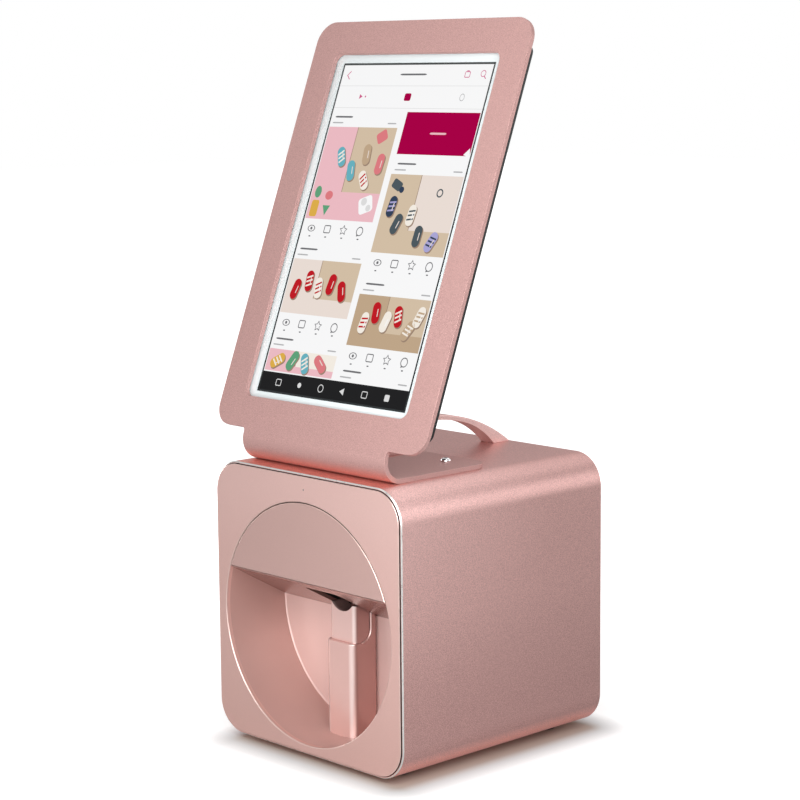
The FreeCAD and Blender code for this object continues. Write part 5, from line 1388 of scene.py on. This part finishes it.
@dataclass
class Page:
    """Generic gallery page on the display: bars, cards, nail shapes and plain icons."""

    half: float = 67.0
    low: float = 1.3
    bar: float = 13.4
    high: float = 219.4
    rules: Span = (205.4, 190.6)
    card_wide: float = 63.6
    icon_limit: float = 24.0
    laid: Dict[Finish, List[Thing]] = field(default_factory=dict)
    stamps: Dict[Shape, Thing] = field(default_factory=dict)

    def build(self) -> None:
        """Lays out the page and mounts one piece for each colour."""
        self.cut_stamps()
        self.bars()
        self.banner()
        for card in CARDS:
            self.card(card)
        for stamp in self.stamps.values():
            bpy.data.meshes.remove(stamp.data)
        for finish, things in self.laid.items():
            piece = join("display_" + finish.value.name, things)
            hold(piece)
            work(piece, "SOLIDIFY", thickness=0.006 * MM, offset=-1.0)
            lean(piece)
            mount(piece, "housing", finish, "display_glass")

    def flat(self, shape: Shape, corners: int, radius: float = 0.5) -> Thing:
        """Adds a flat filled polygon round the origin.

        Args:
            shape: Shape that it is the pattern of.
            corners: How many corners it has.
            radius: Distance of the corners from the middle.

        Returns:
            The polygon.
        """
        let_go()
        bpy.ops.mesh.primitive_circle_add(vertices=corners, radius=radius * MM, fill_type="NGON")
        return named(shape.value)

    def soft_box(self, shape: Shape, size: Span, corner: float, steps: int) -> Thing:
        """Adds a flat box with rounded corners round the origin.

        Args:
            shape: Shape that it is the pattern of.
            size: Its width and height.
            corner: Radius of its corners.
            steps: Segments of a corner.

        Returns:
            The box.
        """
        let_go()
        bpy.ops.mesh.primitive_plane_add(size=1.0)
        bpy.context.active_object.scale = (size[0] * MM, size[1] * MM, 1.0)
        piece = named(shape.value)
        open_up(piece)
        bpy.ops.mesh.bevel(offset=corner * MM, segments=steps, affect="VERTICES")
        let_go()
        return piece

    def outline(self, piece: Thing, width: float) -> Thing:
        """Turns a filled shape into its outline.

        Args:
            piece: The shape.
            width: Width of the outline.

        Returns:
            The same piece.
        """
        choose(piece, Pick.FACES, lambda place, way: True)
        bpy.ops.mesh.inset(thickness=width * MM)
        bpy.ops.mesh.delete(type="FACE")
        let_go()
        return piece

    def star(self) -> Thing:
        """Adds a flat five-pointed star.

        Returns:
            The star.
        """
        piece = self.flat(Shape.STAR, 10, 3.1)
        hold(piece)
        bpy.ops.object.mode_set(mode="EDIT")
        bpy.ops.mesh.select_mode(type="VERT")
        bpy.ops.mesh.select_all(action="DESELECT")
        mesh = bmesh.from_edit_mesh(piece.data)
        for corner in list(mesh.verts)[1::2]:
            corner.select_set(True)
        bmesh.update_edit_mesh(piece.data)
        bpy.ops.transform.resize(value=(0.52, 0.52, 1.0), center_override=(0.0, 0.0, 0.0))
        let_go()
        return piece

    def cut_stamps(self) -> None:
        """Models each small shape once."""
        let_go()
        bpy.ops.mesh.primitive_plane_add(size=MM)
        self.stamps[Shape.BOX] = named(Shape.BOX.value)
        self.stamps[Shape.DISC] = self.flat(Shape.DISC, 20)
        self.stamps[Shape.WEDGE] = self.flat(Shape.WEDGE, 3)
        for shape, size, corner, steps in ((Shape.PILL, (4.0, 1.0), 0.48, 4),
                                           (Shape.NAIL, (5.8, 12.0), 2.85, 7),
                                           (Shape.ROUND, (10.0, 10.0), 2.0, 5)):
            self.stamps[shape] = self.soft_box(shape, size, corner, steps)
        line = 0.55
        self.stamps[Shape.RING] = self.outline(self.flat(Shape.RING, 22, 2.6), line)
        self.stamps[Shape.FRAME] = self.outline(
            self.soft_box(Shape.FRAME, (5.2, 4.5), 0.9, 3), line)
        self.stamps[Shape.STAR] = self.outline(self.star(), 0.42)

    def put(self, shape: Shape, finish: Finish, x: float, v: float, layer: Layer,
            size: Span = (1.0, 1.0), turn: float = 0.0) -> None:
        """Lays a copy of a shape on the page.

        Args:
            shape: The shape.
            finish: Colour of the copy.
            x: Place across.
            v: Place up the screen.
            layer: Layer that it lies on.
            size: Scale across and up.
            turn: Turn in degrees.
        """
        copy = self.stamps[shape].copy()
        copy.data = self.stamps[shape].data.copy()
        bpy.context.scene.collection.objects.link(copy)
        place = Matrix.Translation((x * MM, v * MM, (LAYER_BASE + LAYER_STEP * layer) * MM))
        copy.data.transform(place @ Matrix.Rotation(math.radians(turn), 4, "Z")
                            @ Matrix.Diagonal((*size, 1.0, 1.0)))
        self.laid.setdefault(finish, []).append(copy)

    def area(self, finish: Finish, x: Span, v: Span, layer: Layer) -> None:
        """Lays a plain rectangle.

        Args:
            finish: Its colour.
            x: Its left and right edge.
            v: Its lower and upper edge.
            layer: Layer that it lies on.
        """
        self.put(Shape.BOX, finish, (x[0] + x[1]) / 2, (v[0] + v[1]) / 2, layer,
                 (x[1] - x[0], v[1] - v[0]))

    def bars(self) -> None:
        """Lays the page, its head with plain icons and the dark bar below."""
        across = (-self.half, self.half)
        self.area(Finish.PAGE, across, (self.bar, self.high), Layer.GROUND)
        self.area(Finish.BAR, across, (self.low, self.bar), Layer.GROUND)
        for v in self.rules:
            self.area(Finish.RULE, across, (v - 0.15, v + 0.15), Layer.PRINT)
        rose, layer = Finish.ROSE_LINE, Layer.PRINT
        for turn, up in ((45.0, 1.3), (-45.0, -1.3)):
            self.put(Shape.BOX, rose, -61.0, 212.6 + up, layer, (4.0, 0.6), turn)
        self.put(Shape.FRAME, rose, 46.6, 212.8, layer, (0.9, 0.9))
        self.put(Shape.BOX, rose, 46.6, 215.2, layer, (2.2, 0.5))
        self.put(Shape.RING, rose, 60.0, 213.4, layer, (0.85, 0.85))
        self.put(Shape.BOX, rose, 62.0, 210.9, layer, (2.6, 0.6), -45.0)
        self.put(Shape.PILL, Finish.LINE, -1.0, 213.0, layer, (6.0, 1.2))
        self.put(Shape.WEDGE, rose, -44.6, 198.2, layer, (3.8, 3.8), -90.0)
        self.put(Shape.DISC, rose, -40.0, 198.2, layer, (1.2, 1.2))
        self.put(Shape.ROUND, Finish.CRIMSON, -1.0, 198.0, layer, (0.58, 0.50))
        self.put(Shape.RING, Finish.PALE, 47.0, 198.0, layer, (0.8, 0.95))
        for number, (shape, scale, turn) in enumerate((
                (Shape.FRAME, 1.0, 0.0), (Shape.DISC, 3.4, 0.0), (Shape.RING, 1.0, 0.0),
                (Shape.WEDGE, 5.2, 90.0), (Shape.FRAME, 1.0, 0.0), (Shape.ROUND, 0.42, 0.0))):
            self.put(shape, Finish.RULE, -50.0 + number * 20.0, 7.2, layer, (scale, scale), turn)

    def banner(self) -> None:
        """Lays the plain crimson banner with a small turned corner."""
        self.area(Finish.CRIMSON, (2.6, 66.4), (160.6, 188.2), Layer.PRINT)
        self.put(Shape.PILL, Finish.BLUSH, 34.5, 174.4, Layer.SHEET, (3.6, 1.3))
        self.put(Shape.WEDGE, Finish.PAGE, 64.3, 162.2, Layer.SHEET, (7.2, 7.2), -15.0)

    def card(self, card: Card) -> None:
        """Lays one card: heading lines, picture, row of icons, nail shapes and props.

        Args:
            card: The card.
        """
        left, right, top = card.left, card.left + self.card_wide, card.top
        self.put(Shape.PILL, Finish.LINE, left + 11.5, top - 3.6, Layer.PRINT, (4.2, 1.15))
        for x, long in ((left + 7.0, 2.6), (right - 6.0, 2.0)):
            self.put(Shape.PILL, Finish.PALE, x, top - 7.6, Layer.PRINT, (long, 0.9))
        if card.tall <= 0.0:
            return
        high, low, step = card.low + card.tall, card.low, card.low + card.tall * 0.30
        fold, edge = left + self.card_wide * 0.432, left + self.card_wide * 0.44
        self.area(card.ground, (left, right), (low, high), Layer.PRINT)
        self.area(card.second, (edge, right), (step, high), Layer.SHEET)
        self.area(Finish.SHADE, (fold, edge), (step, high), Layer.SHEET)
        if low > self.icon_limit:
            self.icons(left + 8.5, low - 6.4)
        for nail in card.nails:
            self.nail(nail, left + nail.x, low + nail.v)
        for prop in card.props:
            self.put(prop.shape, prop.finish, left + prop.x, low + prop.v, prop.layer, prop.size,
                     prop.turn)

    def icons(self, start: float, v: float) -> None:
        """Lays the row of plain icons under a picture: eye, frame, star and bubble.

        Args:
            start: Place of the first one.
            v: Height of the row.
        """
        line, layer = Finish.LINE, Layer.PRINT
        eye, frame, star, bubble = (start + number * 15.2 for number in range(4))
        self.put(Shape.RING, line, eye, v, layer, (1.35, 0.86))
        for shape, x in ((Shape.DISC, eye), (Shape.FRAME, frame), (Shape.STAR, star),
                         (Shape.RING, bubble)):
            self.put(shape, line, x, v, layer, (2.0, 2.0) if shape is Shape.DISC else (1.2, 1.2))
        for x in (eye, frame, star, bubble):
            self.put(Shape.PILL, line, x, v - 5.2, layer, (0.45, 0.8))
        self.put(Shape.WEDGE, line, bubble - 1.6, v - 2.8, layer, (2.0, 2.0), 20.0)

    def nail(self, nail: Nail, x: float, v: float) -> None:
        """Lays one nail shape, with its shadow, its stripes and a gleam.

        Args:
            nail: The nail shape.
            x: Place across.
            v: Place up the screen.
        """
        angle = math.radians(nail.turn)
        self.put(Shape.NAIL, Finish.SHADE, x + 0.8, v - 0.7, Layer.SHADOW, (1.2, 1.17), nail.turn)
        self.put(Shape.NAIL, nail.colour, x, v, Layer.PROP, (1.15, 1.15), nail.turn)
        if nail.stripe is not nail.colour:
            for step in (-2.6, 0.2, 2.8):
                self.put(Shape.BOX, nail.stripe, x - step * math.sin(angle),
                         v + step * math.cos(angle), Layer.STRIPE, (5.6, 1.1), nail.turn + 14.0)
        gleam = Finish.PAGE if nail.colour is Finish.CREAM else Finish.PAPER
        self.put(Shape.PILL, gleam, x + 1.3 * math.cos(angle), v + 1.3 * math.sin(angle),
                 Layer.GLEAM, (1.3, 0.7), nail.turn + 90.0)


# ---------------------------------------------------------------- studio

@dataclass
class Softbox:
    """One rectangular studio lamp that points at a target."""

    name: str
    place: Point
    size: Span
    power: float
    target: Point = (0.0, 0.0, 0.2)

    def build(self) -> None:
        """Adds the lamp."""
        data = bpy.data.lights.new(self.name, "AREA")
        data.shape = "RECTANGLE"
        data.size, data.size_y = self.size
        data.energy = self.power
        lamp = bpy.data.objects.new(self.name, data)
        bpy.context.scene.collection.objects.link(lamp)
        lamp.location = self.place
        aim = Vector(self.target) - Vector(self.place)
        lamp.rotation_mode = "QUATERNION"
        lamp.rotation_quaternion = aim.to_track_quat("-Z", "Y")


@dataclass
class Studio:
    """Pale floor, soft lamps, white surroundings and the camera."""

    camera_place: Point = (1.00944, -0.96656, 0.42883)
    yaw: float = 46.44
    pitch: float = 8.59
    roll: float = -0.51
    lens: float = 99.66
    sensor: float = 36.0
    floor_size: float = 14.0
    floor_drop: float = 0.0002
    # The painted shadow on the floor is laid round this rectangle, in metres, and tinted brown
    # close to it.
    shade_middle: Point = (0.007, 0.0, 0.0)
    shade_half: Point = (0.069, 0.084, 0.0)
    painted_shadow_colour: Colour = (0.46, 0.39, 0.34)
    open_floor_colour: Colour = (0.47, 0.47, 0.47)
    near_glow: Point = (0.005, 0.030, 0.70)
    far_glow: Point = (0.045, 0.30, 0.50)
    mirror_glow: float = 0.16
    room_light: float = 0.24
    room_mirrored: float = 0.5
    lamps: Tuple[Softbox, ...] = (
        Softbox("key_box", (0.35, -0.34, 0.37), (0.50, 0.50), 3.55, (0.07, -0.09, 0.17)),
        Softbox("front_box", (0.05, -1.25, 0.20), (0.35, 0.35), 2.4),
        Softbox("front_strip", (-0.42, -1.08, 0.12), (0.09, 0.4), 1.2, (0.0, 0.0, 0.07)),
        Softbox("left_box", (-0.60, -0.60, 1.00), (0.5, 0.5), 0.65, (0.0, 0.0, 0.42)),
        Softbox("back_box", (-0.12, 0.85, 1.00), (0.9, 0.5), 1.05, (0.08, 0.0, 0.17)),
        Softbox("rear_box", (0.75, 1.00, 0.45), (0.6, 0.6), 1.5, (0.0, 0.0, 0.15)),
        Softbox("low_rear_box", (-0.10, 0.85, 0.11), (0.9, 0.18), 2.5, (0.0, 0.0, 0.10)),
        Softbox("low_left_box", (-0.85, 0.08, 0.15), (0.6, 0.26), 3.2, (0.0, 0.0, 0.10)),
    )

    def build(self) -> None:
        """Sets up everything that is not the machine."""
        self.add_camera()
        self.add_floor()
        self.add_world()
        for lamp in self.lamps:
            lamp.build()
        bpy.context.scene.view_settings.view_transform = "Standard"

    def add_camera(self) -> None:
        """Adds the camera at its fitted place."""
        yaw, pitch, roll = (math.radians(v) for v in (self.yaw, self.pitch, self.roll))
        flat = math.cos(pitch)
        back = Vector((math.sin(yaw) * flat, -math.cos(yaw) * flat, math.sin(pitch)))
        level = Vector((math.cos(yaw), math.sin(yaw), 0.0))
        upward = level.cross(-back)
        right = math.cos(roll) * level + math.sin(roll) * upward
        top = -math.sin(roll) * level + math.cos(roll) * upward
        data = bpy.data.cameras.new("studio_camera")
        data.lens, data.sensor_width = self.lens, self.sensor
        data.clip_start, data.clip_end = 0.05, 50.0
        camera = bpy.data.objects.new("studio_camera", data)
        bpy.context.scene.collection.objects.link(camera)
        turn = Matrix((right, top, back)).transposed().to_4x4()
        camera.matrix_world = Matrix.Translation(self.camera_place) @ turn
        bpy.context.scene.camera = camera

    def away(self, graph: Graph) -> Socket:
        """Gives the distance from the rectangle that the painted shadow is laid round.

        Args:
            graph: Nodes of the floor's material.

        Returns:
            The distance in metres, 0 inside the rectangle.
        """
        origin = (0.0, 0.0, 0.0)
        reached = graph.place
        for step, value in (("SUBTRACT", self.shade_middle), ("ABSOLUTE", origin),
                            ("SUBTRACT", self.shade_half), ("MAXIMUM", origin)):
            reached = graph.node("ShaderNodeVectorMath", {"0": reached, "1": value},
                                 operation=step).outputs[0]
        return graph.node("ShaderNodeVectorMath", {"0": reached},
                          operation="LENGTH").outputs["Value"]

    def add_floor(self) -> None:
        """Adds a wide floor that glows white away from the machine and keeps its shadow, with a
        painted shadow round it.

        The glow rises twice, each time from a first to a second distance and by an amount.  It is
        for the camera; mirrors see a weak and even one, and it lights nothing else.
        """
        let_go()
        bpy.ops.mesh.primitive_plane_add(size=self.floor_size,
                                         location=(0.0, 0.0, -self.floor_drop))
        floor = bpy.context.active_object
        floor.name = "studio_floor"
        graph = Graph("studio_floor")
        away = self.away(graph)
        # The glow is held back near the machine: a painted shadow round it.
        near, far = (graph.ramp(away, start, end, 0.0, amount)
                     for start, end, amount in (self.near_glow, self.far_glow))
        seen = graph.figure("MULTIPLY", graph.figure("ADD", near, far),
                            graph.background_rays(0.0))
        mirror = graph.node("ShaderNodeLightPath", {}).outputs["Is Glossy Ray"]
        # Brown tint close to the machine: painted shadow colour.
        shade = graph.tint(graph.ramp(away, 0.003, 0.013), self.painted_shadow_colour, self.open_floor_colour)
        graph.set(Base_Color=shade, Roughness=0.9, Specular_IOR_Level=0.0,
                  Emission_Color=WHITE_LIGHT,
                  Emission_Strength=graph.between(mirror, seen, self.mirror_glow))
        floor.data.materials.append(graph.owner)

    def add_world(self) -> None:
        """Lights the room softly and shows white behind the machine."""
        graph = Graph("studio_world", bpy.data.worlds)
        bpy.context.scene.world = graph.owner
        graph.set(Color=WHITE_LIGHT, Strength=graph.between(
            graph.background_rays(self.room_mirrored), self.room_light, 1.0))


# ---------------------------------------------------------------- assembly

def main() -> None:
    """Builds the studio, dresses the frame and adds the fine pieces."""
    logging.basicConfig(level=logging.INFO, format="%(name)s: %(message)s")
    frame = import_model()
    let_go()
    Studio().build()
    for name, thing in frame["nodes"].items():
        dress(thing, NODE_FINISHES[name])
    Housing().build()
    FingerStand().build()
    TopSide().build(frame["nodes"])
    Page().build()


if __name__ == "__main__":
    main()
